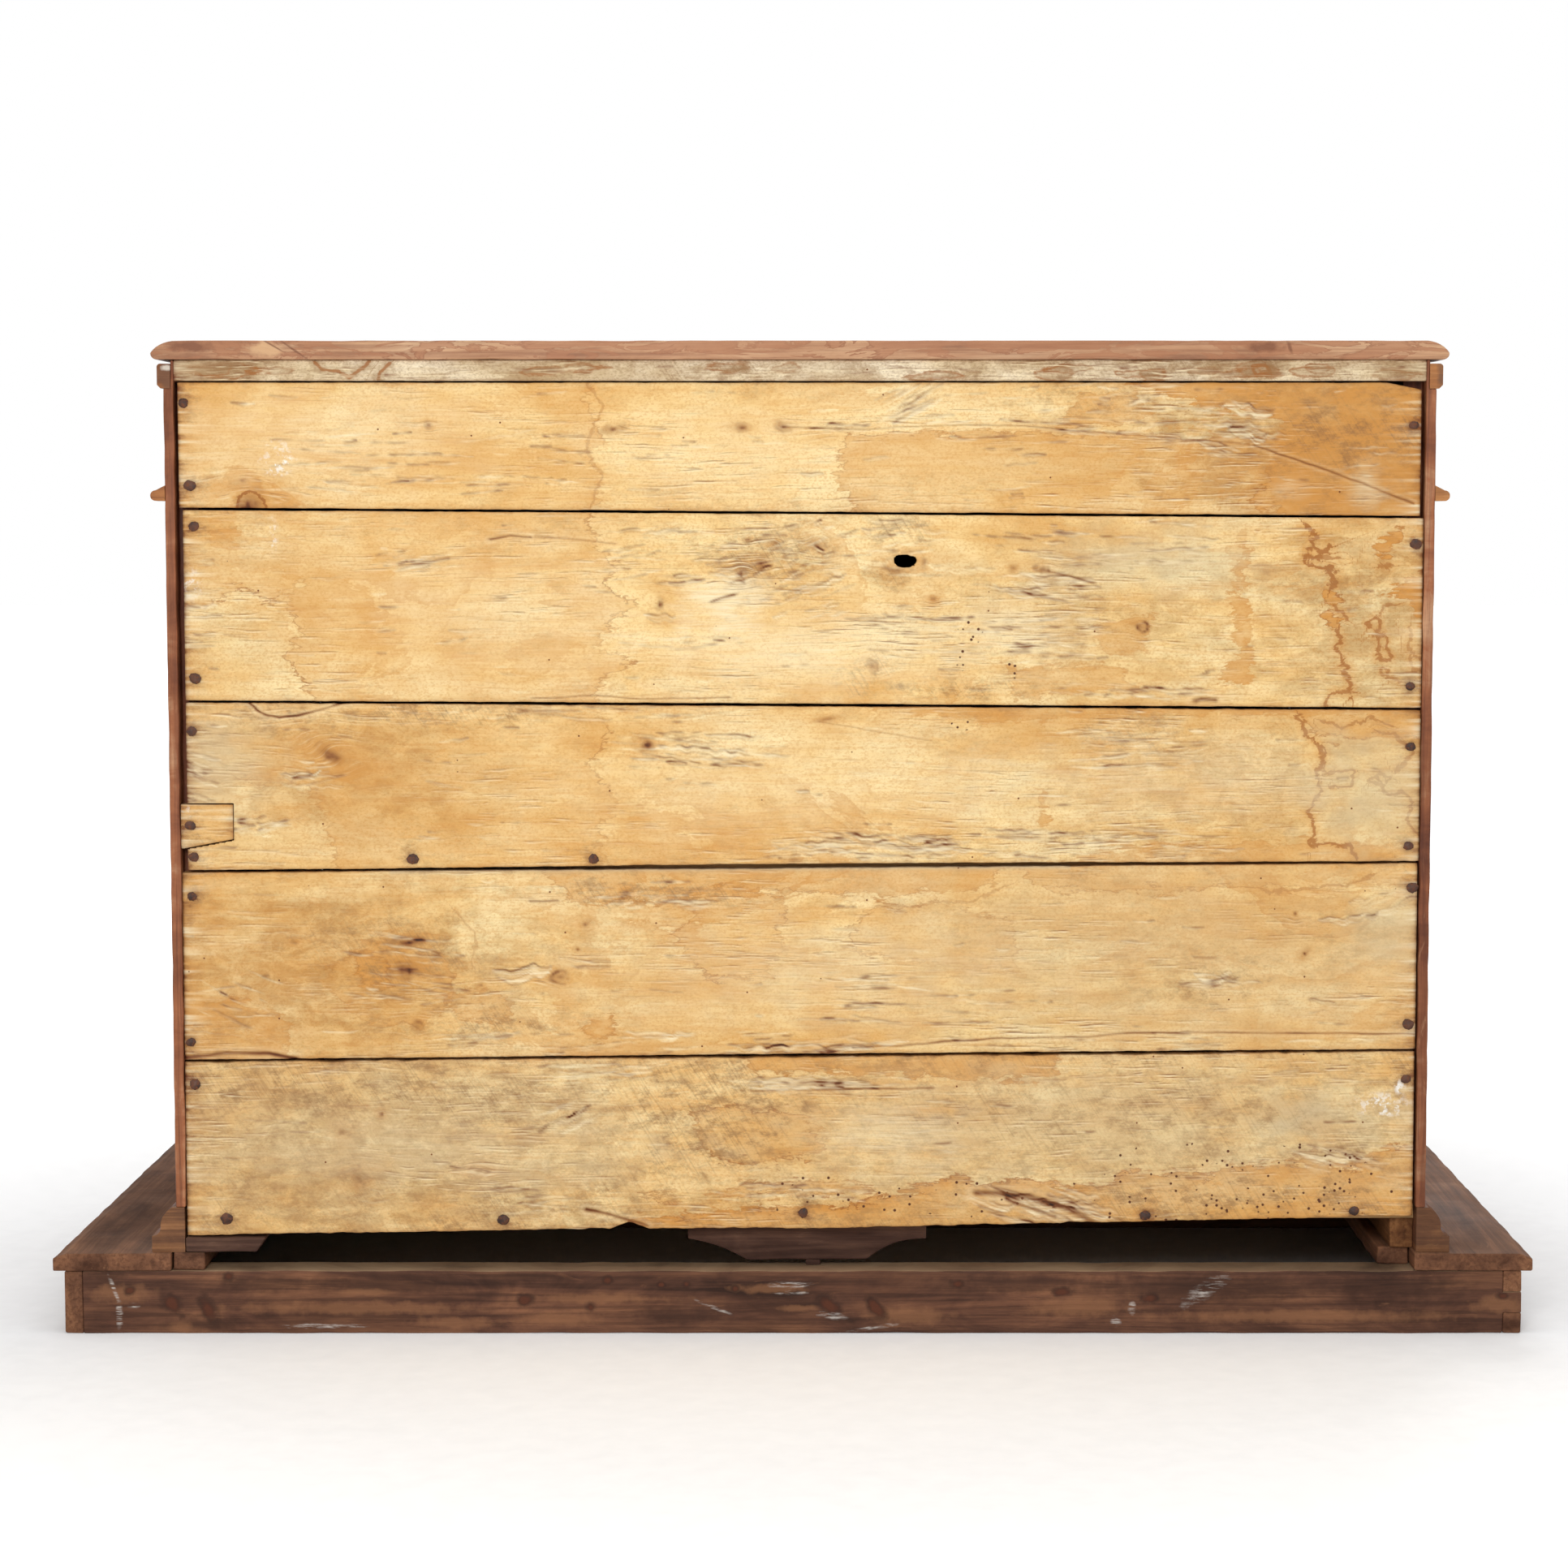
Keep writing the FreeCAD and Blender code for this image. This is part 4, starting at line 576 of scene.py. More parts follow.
class Board:
    """A board's rear face as a grid, with the fields that shape and colour it."""

    def __init__(self, node, up, most, seed, ragged, hollow=0.0):
        self.node, self.seed, self.kept = node, seed, {}
        low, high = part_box(node)
        self.front, self.face = low.y, high.y
        rows = int((high.z - low.z) / up) + 1
        columns = int(most / rows) + 1
        xs = np.linspace(low.x, high.x, columns)
        bottom, top = self.edges(node, xs, low, high)
        long = xs / PIXEL
        shrunk = hollow * np.sin(np.linspace(0, math.pi, columns)) ** 2
        bottom = bottom + (shrunk + ragged * np.abs(cloud(seed + 70, long / 60, long * 0, 5, 0.7))) * MM
        top = top - ragged * MM * np.abs(cloud(seed + 80, long / 60, long * 0, 5, 0.7))
        share = np.linspace(0, 1, rows)
        self.x = np.repeat(xs[:, None], rows, 1)
        self.z = bottom[:, None] + (top - bottom)[:, None] * share
        self.px, self.py = seen(self.x, self.face, self.z)
        self.under = (top[:, None] - self.z) / PIXEL
        self.rim = np.minimum((self.z - bottom[:, None]) / PIXEL, self.under)
        self.left, self.right = (high.x - self.x) / PIXEL, (self.x - low.x) / PIXEL
        self.height = np.zeros(self.x.shape)
        self.field = {name: np.zeros(self.x.shape) for name in FIELDS}
        for name, start in (("edge_1", -REACH), ("edge_2", -REACH), ("side", REACH)):
            self.field[name] += start

    @staticmethod
    def edges(node, xs, low, high):
        """Lower and upper edge of the outline at each place along it."""
        tree = surface(node)
        y, inset = (low.y + high.y) / 2, 0.3 * MM
        ends = []
        for start, way in ((low.z - 1, 1), (high.z + 1, -1)):
            line = []
            for x in np.clip(xs, low.x + 2 * inset, high.x - 2 * inset):
                starts = [Vector((x + shift, y, start)) for shift in (-inset, 0, inset)]
                hits = [tree.ray_cast(at, Vector((0, 0, way)))[0] for at in starts]
                line.append(sorted(hit.z for hit in hits if hit)[1])
            ends.append(np.array(line))
        return ends

    def cloud(self, number, wide, tall, octaves=4):
        """Noise of its own for this board, in pixels of the photograph."""
        key = number, wide, tall, octaves
        if key not in self.kept:
            self.kept[key] = cloud(self.seed * 31 + number * 7, self.px / wide, self.py / tall, octaves)
        return self.kept[key]

    def window(self, left, right):
        """The columns between two pixels."""
        inside = np.nonzero((self.px[:, 0] > left) & (self.px[:, 0] < right))[0]
        return slice(inside[0], inside[-1] + 1) if len(inside) else slice(0, 0)

    def base(self, amber, stain, grey, rough):
        """Fibres, plane marks, dirty rims and tide lines that every board has."""
        field = self.field
        field["flow"] += (7 * self.cloud(1, 420, 160, 3) + 2 * self.cloud(2, 90, 60, 3)) * PIXEL
        field["amber"] += amber + 0.3 * self.cloud(3, 240, 80) + 0.12 * self.cloud(4, 120, 12)
        field["stain"] += stain
        field["grey"] += grey + 0.5 * np.clip(self.cloud(5, 150, 60), 0, 1)
        field["rough"] += np.clip(rough + 1.2 * self.cloud(6, 130, 44), 0, 1)
        blotchy = np.clip(self.cloud(7, 70, 30) + 0.35, 0, 1)
        field["grey"] += 0.7 * blotchy * np.exp(-self.rim / 9)
        field["amber"] += 0.45 * blotchy * np.exp(-self.rim / 12)
        for end, strength in ((self.left, 0.85), (self.right, 0.45)):
            field["rust"] += strength * np.exp(-end / 7) * np.clip(self.cloud(8, 14, 16, 3) + 0.35, 0, 1)
            streaks = 2.2 * self.cloud(13, 70, 4, 2)
            field["rust"] += 0.7 * strength * np.exp(-end / 15) * np.clip(streaks, 0, 1)
            field["pale"] += np.exp(-end / 18) * np.clip(-streaks, 0, 1)
            self.height -= 0.8 * np.exp(-end / 18) * np.clip(streaks, 0, 1) * MM
            field["amber"] += 0.4 * np.exp(-end / 26)
            field["dark"] += 0.3 * np.exp(-end / 2.5)
        worn = np.exp(-self.rim / 2.2) + np.exp(-self.left / 3.0) + np.exp(-self.right / 3.0)
        chips = np.clip(self.cloud(9, 26, 12, 3) - 0.15, 0, 1)
        self.height -= (1.0 * worn + 3.0 * chips * np.exp(-self.rim / 4.0)) * MM
        field["dark"] += 0.22 * np.exp(-self.rim / 1.4)
        self.height += (0.5 * self.cloud(10, 420, 120, 2) + 0.22 * self.cloud(11, 90, 30, 3) - 0.6) * MM
        self.height += 0.14 * field["rough"] * self.cloud(12, 26, 3.2, 3) * MM

    def tear(self, start, end, width, depth, dark, pale):
        """Torn grain: a lens of raw wood between a shadowed upper lip and a fainter lower one."""
        (x0, y0), (x1, y1) = start, end
        part = self.window(x0, x1)
        px, py = self.px[part], self.py[part]
        if not px.size:
            return
        share = (px - x0) / (x1 - x0)
        belly = np.clip(4 * share * (1 - share), 0, 1) ** 0.7
        own = self.seed + int(x0 + 3 * y0)
        down = (py - y0 - (y1 - y0) * share) / width - 0.3 * ripple(own, px / 9, px * 0)
        fibres = np.clip(0.55 + 0.8 * ripple(own + 1, px / 18, down * width / 1.7), 0, 1)
        broken = np.clip(0.45 + 0.9 * ripple(own + 2, px / 11, px * 0), 0, 1) * np.clip(belly * 2, 0, 1)
        lens = np.clip(np.minimum(down, belly - down) * width / 1.6 + 0.5, 0, 1) * np.clip(belly * 4, 0, 1)
        lip = np.exp(-(down * width / 1.4) ** 2) * broken
        toe = np.exp(-((down - belly) * width / 1.2) ** 2) * broken
        self.height[part] -= depth * lens * (1.2 - np.clip(down, 0, 1)) * (0.5 + fibres) * MM
        # The dark field takes a painted shadow along the upper lip, fainter along the lower one
        self.field["dark"][part] += dark * (lip + 0.4 * toe + 0.25 * lens * (1 - fibres))
        self.field["pale"][part] += pale * lens * fibres
        self.field["amber"][part] -= 0.4 * lens * fibres

    def tears(self, box, count, length, width, slope=0.0, number=0):
        """Many small tears inside a box of the photograph."""
        rng = np.random.default_rng(self.seed * 100 + number)
        left, high, right, low = box
        for _ in range(count):
            x, y = rng.uniform(left, right), rng.uniform(high, low)
            long = length * rng.uniform(0.4, 2.0)
            tilt = long * (slope + rng.normal(0, 0.07))
            size = width * rng.uniform(0.4, 1.6)
            dark, pale = rng.uniform(0.0, 0.42), rng.uniform(0.15, 0.75)
            start, end = (x - long / 2, y + tilt / 2), (x + long / 2, y - tilt / 2)
            self.tear(start, end, size, 0.07 * size, dark, pale)

    def knot(self, x, y, wide, tall, turn, core, rim, rough=1.0):
        """A knot with rings, and the grain that flows round it."""
        cosine, sine = math.cos(math.radians(turn)), math.sin(math.radians(turn))
        dx, dy = self.px - x, self.py - y
        along, over = (dx * cosine + dy * sine) / wide, (dy * cosine - dx * sine) / tall
        swell = 1 + 0.35 * rough * self.cloud(20, 14, 14, 3)
        out = np.hypot(along, over) * swell + 0.2 * rough * self.cloud(29, 7, 7, 2)
        arc = np.clip(0.5 + 1.1 * self.cloud(30, 12, 9, 2) + 2 * max(rim - 0.6, 0), 0, 1)
        heart = np.exp(-np.abs(out / 0.55) ** 3)
        band = np.exp(-((out - 1) / (1.6 / tall + 0.06)) ** 2)
        rings = (0.5 + 0.5 * np.cos(9 * out)) * np.exp(-(out / 1.2) ** 2)
        mottled = 0.8 + 0.4 * self.cloud(21, 5, 5, 3)
        field = self.field
        field["dark"] += core * heart * mottled + rim * band * arc + 0.16 * core * rings
        field["amber"] += 0.5 * np.exp(-(out / 2.0) ** 2)
        field["flow"] += 0.75 * over * tall * PIXEL * np.exp(-(along / 2.4) ** 2 - (over / 2.0) ** 2)
        self.height += (0.5 * rings - 1.0 * heart - 0.8 * rim * band) * MM

    def near(self, points, wander=0.0):
        """Distance to a line of points, with the side of the line as its sign."""
        x = self.px + wander * (self.cloud(22, 30, 15) + 0.8 * self.cloud(31, 30, 5, 3))
        y = self.py + 0.6 * wander * self.cloud(23, 30, 30)
        closest = np.full(x.shape, np.inf)
        for (ax, ay), (bx, by) in zip(points, points[1:]):
            run, drop = bx - ax, by - ay
            share = np.clip(((x - ax) * run + (y - ay) * drop) / (run * run + drop * drop), 0, 1)
            dx, dy = x - ax - share * run, y - ay - share * drop
            signed = np.hypot(dx, dy) * np.where(run * dy < drop * dx, -1, 1)
            closest = np.where(np.abs(signed) < np.abs(closest), signed, closest)
        return closest

    def crack(self, points, width, depth, dark):
        """A split that follows a line of points."""
        distance = np.abs(self.near(points, 2.5))
        line = np.exp(-(distance / width) ** 2) * np.clip(0.75 + 0.5 * self.cloud(24, 40, 40), 0, 1)
        self.height -= depth * line * MM
        self.field["dark"] += dark * line
        self.field["pale"] += 0.3 * dark * np.exp(-((distance - 2.5 * width) / (1.5 * width)) ** 2)

    def trail(self, points, width, strength):
        """A line that water has left."""
        field = self.field
        side = np.clip(self.near(points) * 3 / width, -REACH, REACH)
        closer = np.abs(side) < np.abs(field["side"])
        field["side"] = np.where(closer, side, field["side"])
        field["drip"] = np.where(closer, strength, field["drip"])

    def stain(self, points, strength, fade, line):
        """A water stain, whose colour gathers at its edge; it goes on the layer that has least there."""
        ring = points + points[:1]
        distance = np.abs(self.near(ring))
        inside = np.zeros(distance.shape, bool)
        for (ax, ay), (bx, by) in zip(ring, ring[1:]):
            crossed = (bx - ax) * (self.py - ay) / ((by - ay) or 1) + ax
            inside ^= ((ay > self.py) != (by > self.py)) & (self.px < crossed)
        depth = np.clip(np.where(inside, distance, -distance), -REACH, REACH)
        field = self.field
        layer = min(LAYERS, key=lambda end: field["edge" + end][inside].sum())
        deeper = depth > field["edge" + layer]
        soak = 1.5 * strength * (0.35 + 0.65 * np.exp(-np.clip(depth, 0, None) / fade))
        for key, value in (("edge", depth), ("soak", soak), ("line", 1.3 * line)):
            field[key + layer] = np.where(deeper, value, field[key + layer])

    def patch(self, name, x, y, wide, tall, amount, grain=30):
        """A cloudy patch of one field."""
        out = np.hypot((self.px - x) / wide, (self.py - y) / tall) + 0.55 * self.cloud(27, grain, grain * 0.6)
        self.field[name] += amount * np.clip(1.3 - out, 0, 1)

    def rusty(self, x, y):
        """The rust that a nail leaves."""
        out = np.hypot(self.px - x, self.py - y) + 4 * self.cloud(28, 9, 9, 3)
        self.field["rust"] += 0.8 * np.exp(-(out / RUST_SPREAD) ** 2)
        self.field["grey"] += 0.5 * np.exp(-(out / (3 * RUST_SPREAD)) ** 2)

    def build(self, name, material, slot, through=None):
        """The closed board: the grid, its walls and a flat front."""
        columns, rows = self.x.shape
        index = np.arange(columns * rows).reshape(columns, rows)
        quads = np.stack([index[:-1, :-1], index[:-1, 1:], index[1:, 1:], index[1:, :-1]], -1).reshape(-1, 4)
        if through is not None:
            level, middle = through(self)
            gone = level.ravel()[quads].min(1) < 0
            if middle:
                edge = np.intersect1d(quads[gone], quads[~gone])
                pull = 1 / (1 + np.clip(level.ravel()[edge], 0, 1))
                for grid, centre in ((self.x, middle[0]), (self.z, middle[1])):
                    grid.ravel()[edge] = centre + (grid.ravel()[edge] - centre) * pull
            quads = quads[~gone]
        starts = quads.ravel()
        ends = np.roll(quads, -1, 1).ravel()
        count = columns * rows
        rim = ~np.isin(starts * count + ends, ends * count + starts)
        starts, ends = starts[rim], ends[rim]
        around = np.unique(starts)
        copy = np.zeros(count, np.int64)
        copy[around] = count + np.arange(len(around))
        points = np.stack([self.x.ravel(), self.face + self.height.ravel(), self.z.ravel()], -1)
        points[:, 1] = np.minimum(points[:, 1], self.face)
        back = points[around].copy()
        back[:, 1] = self.front
        walls = np.stack([ends, starts, copy[starts], copy[ends]], -1)
        mesh = bpy.data.meshes.new(name)
        mesh.from_pydata(np.concatenate([points, back]).tolist(), [], np.concatenate([quads, walls]).tolist())
        for key in FIELDS:
            values = self.field[key].ravel()
            if key not in SIGNED:
                values = np.clip(values, 0, 1)
            values = np.concatenate([values, values[around]]).astype(np.float32)
            mesh.attributes.new(key, "FLOAT", "POINT").data.foreach_set("value", values)
        shape = bmesh.new()
        shape.from_mesh(mesh)
        loops = [edge for edge in shape.edges if len(edge.link_faces) == 1]
        filled = bmesh.ops.triangle_fill(shape, edges=loops, normal=(0, -1, 0))["geom"]
        shape.normal_update()
        faces = [part for part in filled if isinstance(part, bmesh.types.BMFace)]
        turned = [face for face in faces if face.normal.y > 0]
        bmesh.ops.reverse_faces(shape, faces=turned)
        loose = [vertex for vertex in shape.verts if not vertex.link_faces]
        bmesh.ops.delete(shape, geom=loose, context="VERTS")
        shape.normal_update()
        for face in shape.faces:
            face.smooth = abs(face.normal.y) > SMOOTH_FACING
        shape.to_mesh(mesh)
        shape.free()
        made = place(name, mesh, "case", material, slot)
        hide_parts(self.node)


# The same wander in every run
WOBBLE_SEED = 7
field_noise.seed_set(WOBBLE_SEED)
SHARP = math.radians(30)
FLAT = math.radians(1)
WOBBLE_GRAIN = 30.0
# Spacing of the cuts, then radius of the arrises and wobble, in mm
LATH_CUTS, LATH_WEAR = 30.0, (0.8, 0.4)
FRONT_CUTS, FRONT_WEAR = 60.0, (0.8, 0.15)


def soften(shape, low, high, steps, radius, wobble):
    """Round the arrises of a solid, and let its faces wander a little inside its box; sizes in mm."""
    sharp = [edge for edge in shape.edges if len(edge.link_faces) == 2 and edge.calc_face_angle() > SHARP]
    bmesh.ops.bevel(
        shape, geom=sharp, offset=radius * MM, offset_type="OFFSET", segments=2, profile=0.5,
        affect="EDGES", clamp_overlap=True)
    for axis, step in steps.items():
        way = Vector([float(axis == a) for a in "xyz"])
        start, stop = low.dot(way), high.dot(way)
        for at in np.arange(start + step * MM, stop - 0.3 * step * MM, step * MM):
            geometry = shape.verts[:] + shape.edges[:] + shape.faces[:]
            bmesh.ops.bisect_plane(shape, geom=geometry, plane_co=way * at, plane_no=way)
    for vertex in shape.verts:
        moved = vertex.co + field_noise.noise_vector(vertex.co * WOBBLE_GRAIN) * wobble * MM
        vertex.co = [min(max(v, a), b) for v, a, b in zip(moved, low, high)]


def worn(node, body, material, slot, steps, radius, wobble):
    """A CAD solid with the arrises that use has softened."""
    shape = bmesh.new()
    shape.from_mesh(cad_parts[node].data)
    bmesh.ops.remove_doubles(shape, verts=shape.verts, dist=SAME)
    bmesh.ops.dissolve_limit(shape, angle_limit=FLAT, verts=shape.verts, edges=shape.edges)
    soften(shape, *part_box(node), steps, radius, wobble)
    made = shaped(node + "_worn", shape, body, material, slot)
    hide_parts(node)


def laths(name, boxes, body, material, slot, along):
    """Thin strips with softened arrises."""
    shape = bmesh.new()
    for low, high in boxes:
        for vertex in bmesh.ops.create_cube(shape, size=1.0)["verts"]:
            vertex.co = [a + (at + 0.5) * (b - a) for at, a, b in zip(vertex.co, low, high)]
    low = Vector(np.min([box[0] for box in boxes], 0))
    high = Vector(np.max([box[1] for box in boxes], 0))
    soften(shape, low, high, {along: LATH_CUTS}, *LATH_WEAR)
    shaped(name, shape, body, material, slot)


# Planks

nails = []
for nail_low, nail_high in solids("back_nails"):
    middle = (nail_low + nail_high) / 2
    nails.append((middle.x, middle.z) + seen(middle.x, BACK_FACE, middle.z))

# Height of a row of the grid, and about how many points a board has
ROW, MOST = 1.2 * MM, 94000
# Amber, stain, grey, rough
TINTS = {
    1: (0.16, 0.75, 0.0, 0.3), 2: (0.06, 0.7, 0.0, 0.3), 3: (0.14, 0.65, 0.08, 0.25),
    4: (0.2, 0.75, 0.12, 0.2), 5: (0.1, 0.35, 0.55, 0.25),
}
# How far the edges wander, and how far the middle of the lower edge has shrunk, in mm
RAGGED = {1: 1.0, 2: 1.0, 3: 1.4, 4: 1.4, 5: 3.0}
HOLLOW = {1: 0.0, 2: 0.4, 3: 2.4, 4: 0.6, 5: 0.0}
planks = {n: Board(f"back_board_{n}", ROW, MOST, 10 * n, RAGGED[n], HOLLOW[n]) for n in TINTS}
for number, tint in TINTS.items():
    planks[number].base(*tint)

# x, y, half width, half height, turn, dark heart, dark rim, and a rough outline where it isn't 1
KNOTS = {
    1: ((307, 623, 25, 21, 4, 0.7, 0.1, 0.3), (914, 527, 11, 5, 0, 0.6, 0.2),
        (964, 526, 9, 5, 10, 0.5, 0.3), (754, 529, 13, 5, -10, 0.5, 0.2), (528, 524, 4, 4, 0, 0.5, 0.2)),
    2: ((814, 746, 6, 8, 0, 0.8, 0.2), (1285, 702, 7, 6, 15, 0.7, 0.4), (1409, 773, 7, 7, 0, 0.4, 0.7),
        (1150, 738, 4, 4, 0, 0.6, 0.1), (1115, 691, 24, 12, 0, 0.0, 0.35), (1248, 700, 5, 5, 0, 0.5, 0.3),
        (1075, 822, 8, 9, 0, 0.3, 0.3), (921, 665, 4, 3, 0, 0.7, 0.1), (955, 669, 9, 4, -20, 0.5, 0.3),
        (937, 695, 9, 5, 10, 0.5, 0.2), (1007, 672, 10, 7, 30, 0.45, 0.15), (913, 707, 7, 6, 40, 0.5, 0.2)),
    3: ((798, 918, 11, 8, 0, 0.9, 0.2), (406, 930, 26, 13, 28, 0.6, 0.15),
        (1021, 886, 12, 3, -10, 0.5, 0.2)),
    4: ((767, 1106, 9, 6, 0, 0.5, 0.4), (503, 1162, 20, 6, -6, 0.85, 0.2), (498, 1196, 20, 9, 5, 0.7, 0.3),
        (689, 1204, 11, 8, -8, 0.4, 0.6), (721, 1139, 6, 5, 0, 0.45, 0.1),
        (1608, 1175, 7, 3, -50, 0.8, 0.1), (1596, 1126, 3, 5, 0, 0.6, 0.1), (712, 1170, 4, 3, 0, 0.6, 0.1),
        (362, 1162, 8, 4, 0, 0.3, 0.1), (592, 1214, 4, 3, 0, 0.5, 0.1), (513, 1266, 7, 6, 0, 0.2, 0.4)),
    5: ((440, 1453, 16, 12, 20, 0.3, 0.15), (1412, 1496, 9, 8, 0, 0.1, 0.5), (422, 1396, 6, 5, 0, 0.3, 0.1),
        (590, 1444, 10, 7, 0, 0.25, 0.1), (470, 1373, 4, 4, 0, 0.5, 0.1)),
}
# Outline, strength, how far the colour fades inwards, strength of the edge
STAINS = {
    1: (([(100, 400), (740, 400), (722, 500), (745, 545), (720, 565), (742, 590), (728, 690), (100, 690)],
          0.26, 40, 0.3),
        ([(1040, 535), (1036, 575), (1030, 590), (1048, 612), (1060, 690), (1850, 690), (1850, 500),
          (1540, 540), (1300, 530)], 0.38, 80, 0.4),
        ([(1200, 400), (1850, 400), (1850, 700), (1600, 700), (1560, 580), (1580, 520), (1480, 500)],
          0.62, 160, 0.35),
        ([(1590, 590), (1640, 596), (1660, 560), (1700, 575), (1690, 632), (1580, 632)], 0.4, 18, 0.6),
        ([(1330, 490), (1400, 480), (1420, 520), (1300, 530)], 0.4, 40, 0.2),
        ([(1592, 622), (1596, 596), (1610, 585), (1640, 583), (1662, 590), (1668, 612), (1640, 627)],
          0.5, 14, 0.7),
        ([(1700, 550), (1716, 546), (1732, 560), (1728, 590), (1712, 598), (1702, 580)], 0.6, 20, 0.3),
        ([(1543, 600), (1570, 592), (1590, 604), (1586, 626), (1550, 628)], 0.5, 16, 0.5),
        ([(1652, 556), (1662, 560), (1664, 596), (1652, 598)], 0.6, 10, 0.3),
        ([(1640, 480), (1740, 484), (1744, 530), (1690, 540), (1650, 520)], 0.45, 40, 0.3)),
    2: (([(100, 560), (740, 560), (728, 655), (745, 682), (768, 703), (741, 720), (781, 745), (742, 780),
          (736, 795), (784, 816), (742, 838), (700, 940), (400, 940), (384, 850), (366, 834), (352, 806),
          (372, 780), (353, 743), (372, 716), (330, 740), (296, 722), (258, 748), (100, 764)],
          0.25, 70, 0.55),
        ([(257, 655), (290, 652), (294, 674), (262, 678)], 0.4, 30, 0.1),
        ([(1530, 672), (1544, 676), (1540, 694), (1532, 704), (1536, 718), (1528, 734), (1542, 752),
          (1546, 770), (1536, 784), (1544, 802), (1546, 822), (1540, 842), (1500, 842), (1502, 826),
          (1526, 812), (1520, 790), (1526, 770), (1520, 754), (1512, 740), (1520, 716), (1516, 702),
          (1528, 690)], 0.55, 30, 0.12),
        ([(1640, 722), (1645, 727), (1662, 745), (1644, 748), (1630, 746), (1628, 733)], 0.85, 40, 0.7),
        ([(1633, 754), (1638, 751), (1656, 764), (1650, 774), (1642, 778), (1632, 770)], 0.8, 40, 0.6),
        ([(1693, 672), (1717, 657), (1729, 648), (1732, 662), (1719, 671), (1714, 678), (1714, 687),
          (1698, 682)], 0.9, 40, 0.5),
        ([(1350, 770), (1420, 758), (1412, 800), (1360, 812)], 0.35, 40, 0.2),
        ([(1240, 820), (1380, 818), (1400, 850), (1250, 860)], 0.35, 40, 0.2),
        ([(1850, 700), (1754, 704), (1734, 716), (1716, 722), (1714, 730), (1702, 732), (1734, 738),
          (1744, 748), (1750, 770), (1850, 772)], 0.85, 60, 0.4)),
    3: (([(100, 800), (735, 800), (735, 870), (755, 905), (728, 940), (760, 985), (740, 1020), (756, 1120),
          (430, 1120), (404, 1018), (398, 1002), (393, 986), (370, 968), (300, 962), (100, 950)],
          0.24, 60, 0.42),
        ([(1560, 800), (1604, 885), (1612, 905), (1660, 912), (1700, 906), (1850, 910), (1850, 800)],
          0.38, 40, 0.6),
        ([(1279, 978), (1287, 976), (1288, 1012), (1281, 1014)], 0.5, 20, 0.2),
        # Painted shadow: this band along the top of the third plank, on the right, is the shade below the
        # second plank's lower edge, drawn as a stain
        ([(1080, 820), (1850, 820), (1850, 879), (1480, 881), (1300, 886), (1180, 884), (1080, 874)],
          0.36, 400, 0.12),
        ([(1400, 1040), (1850, 1040), (1850, 1120), (1100, 1120)], 0.4, 30, 0.2)),
    4: (([(829, 1107), (860, 1128), (829, 1150), (853, 1186), (868, 1204), (950, 1204), (946, 1189),
          (966, 1171), (955, 1136), (968, 1125), (955, 1100), (900, 1090)], 0.32, 40, 0.55),
        ([(620, 1010), (1240, 1010), (1230, 1092), (1100, 1104), (960, 1098), (800, 1112), (700, 1108)],
          0.36, 60, 0.35),
        ([(393, 1211), (436, 1254), (471, 1264), (540, 1262), (560, 1210), (540, 1160), (480, 1150),
          (430, 1170)], 0.28, 60, 0.3),
        ([(436, 1178), (452, 1172), (478, 1184), (482, 1208), (470, 1222), (446, 1214)], 0.55, 20, 0.35),
        ([(548, 1230), (600, 1216), (640, 1232), (620, 1262), (566, 1258)], 0.3, 30, 0.3),
        ([(720, 1262), (752, 1252), (760, 1276), (730, 1286)], 0.5, 20, 0.4),
        ([(1036, 1171), (1052, 1140), (1079, 1118), (1160, 1112), (1240, 1130), (1260, 1200), (1150, 1190)],
          0.22, 60, 0.4),
        ([(100, 1240), (300, 1230), (360, 1260), (330, 1360), (100, 1360)], 0.4, 60, 0.2),
        ([(1150, 1010), (1850, 1010), (1850, 1085), (1500, 1096), (1300, 1100)], 0.26, 40, 0.35)),
    5: (([(905, 1359), (946, 1365), (985, 1376), (1007, 1382), (1014, 1390), (1004, 1395), (1018, 1400),
          (1008, 1405), (1014, 1412), (1000, 1421), (970, 1431), (925, 1434), (884, 1431), (862, 1410),
          (852, 1372)], 0.42, 11, 0.95),
        ([(872, 1474), (921, 1457), (1011, 1455), (1072, 1466), (1000, 1474)], 0.35, 20, 0.55),
        ([(782, 1502), (864, 1498), (921, 1488), (1027, 1486), (1109, 1470), (1178, 1447), (1203, 1457),
          (1272, 1451), (1301, 1461), (1354, 1463), (1395, 1441), (1431, 1443), (1489, 1445), (1513, 1437),
          (1566, 1439), (1603, 1431), (1599, 1417), (1619, 1417), (1623, 1429), (1668, 1437), (1685, 1425),
          (1713, 1414), (1850, 1417), (1850, 1600), (760, 1600)], 0.64, 26, 1.0),
        ([(872, 1250), (1310, 1250), (1300, 1330), (1080, 1324), (930, 1322)], 0.6, 40, 0.35),
        ([(554, 1443), (590, 1434), (623, 1442), (590, 1453)], 0.2, 12, 0.5),
        ([(790, 1474), (828, 1472), (832, 1477), (792, 1478)], 0.2, 8, 0.5)),
}
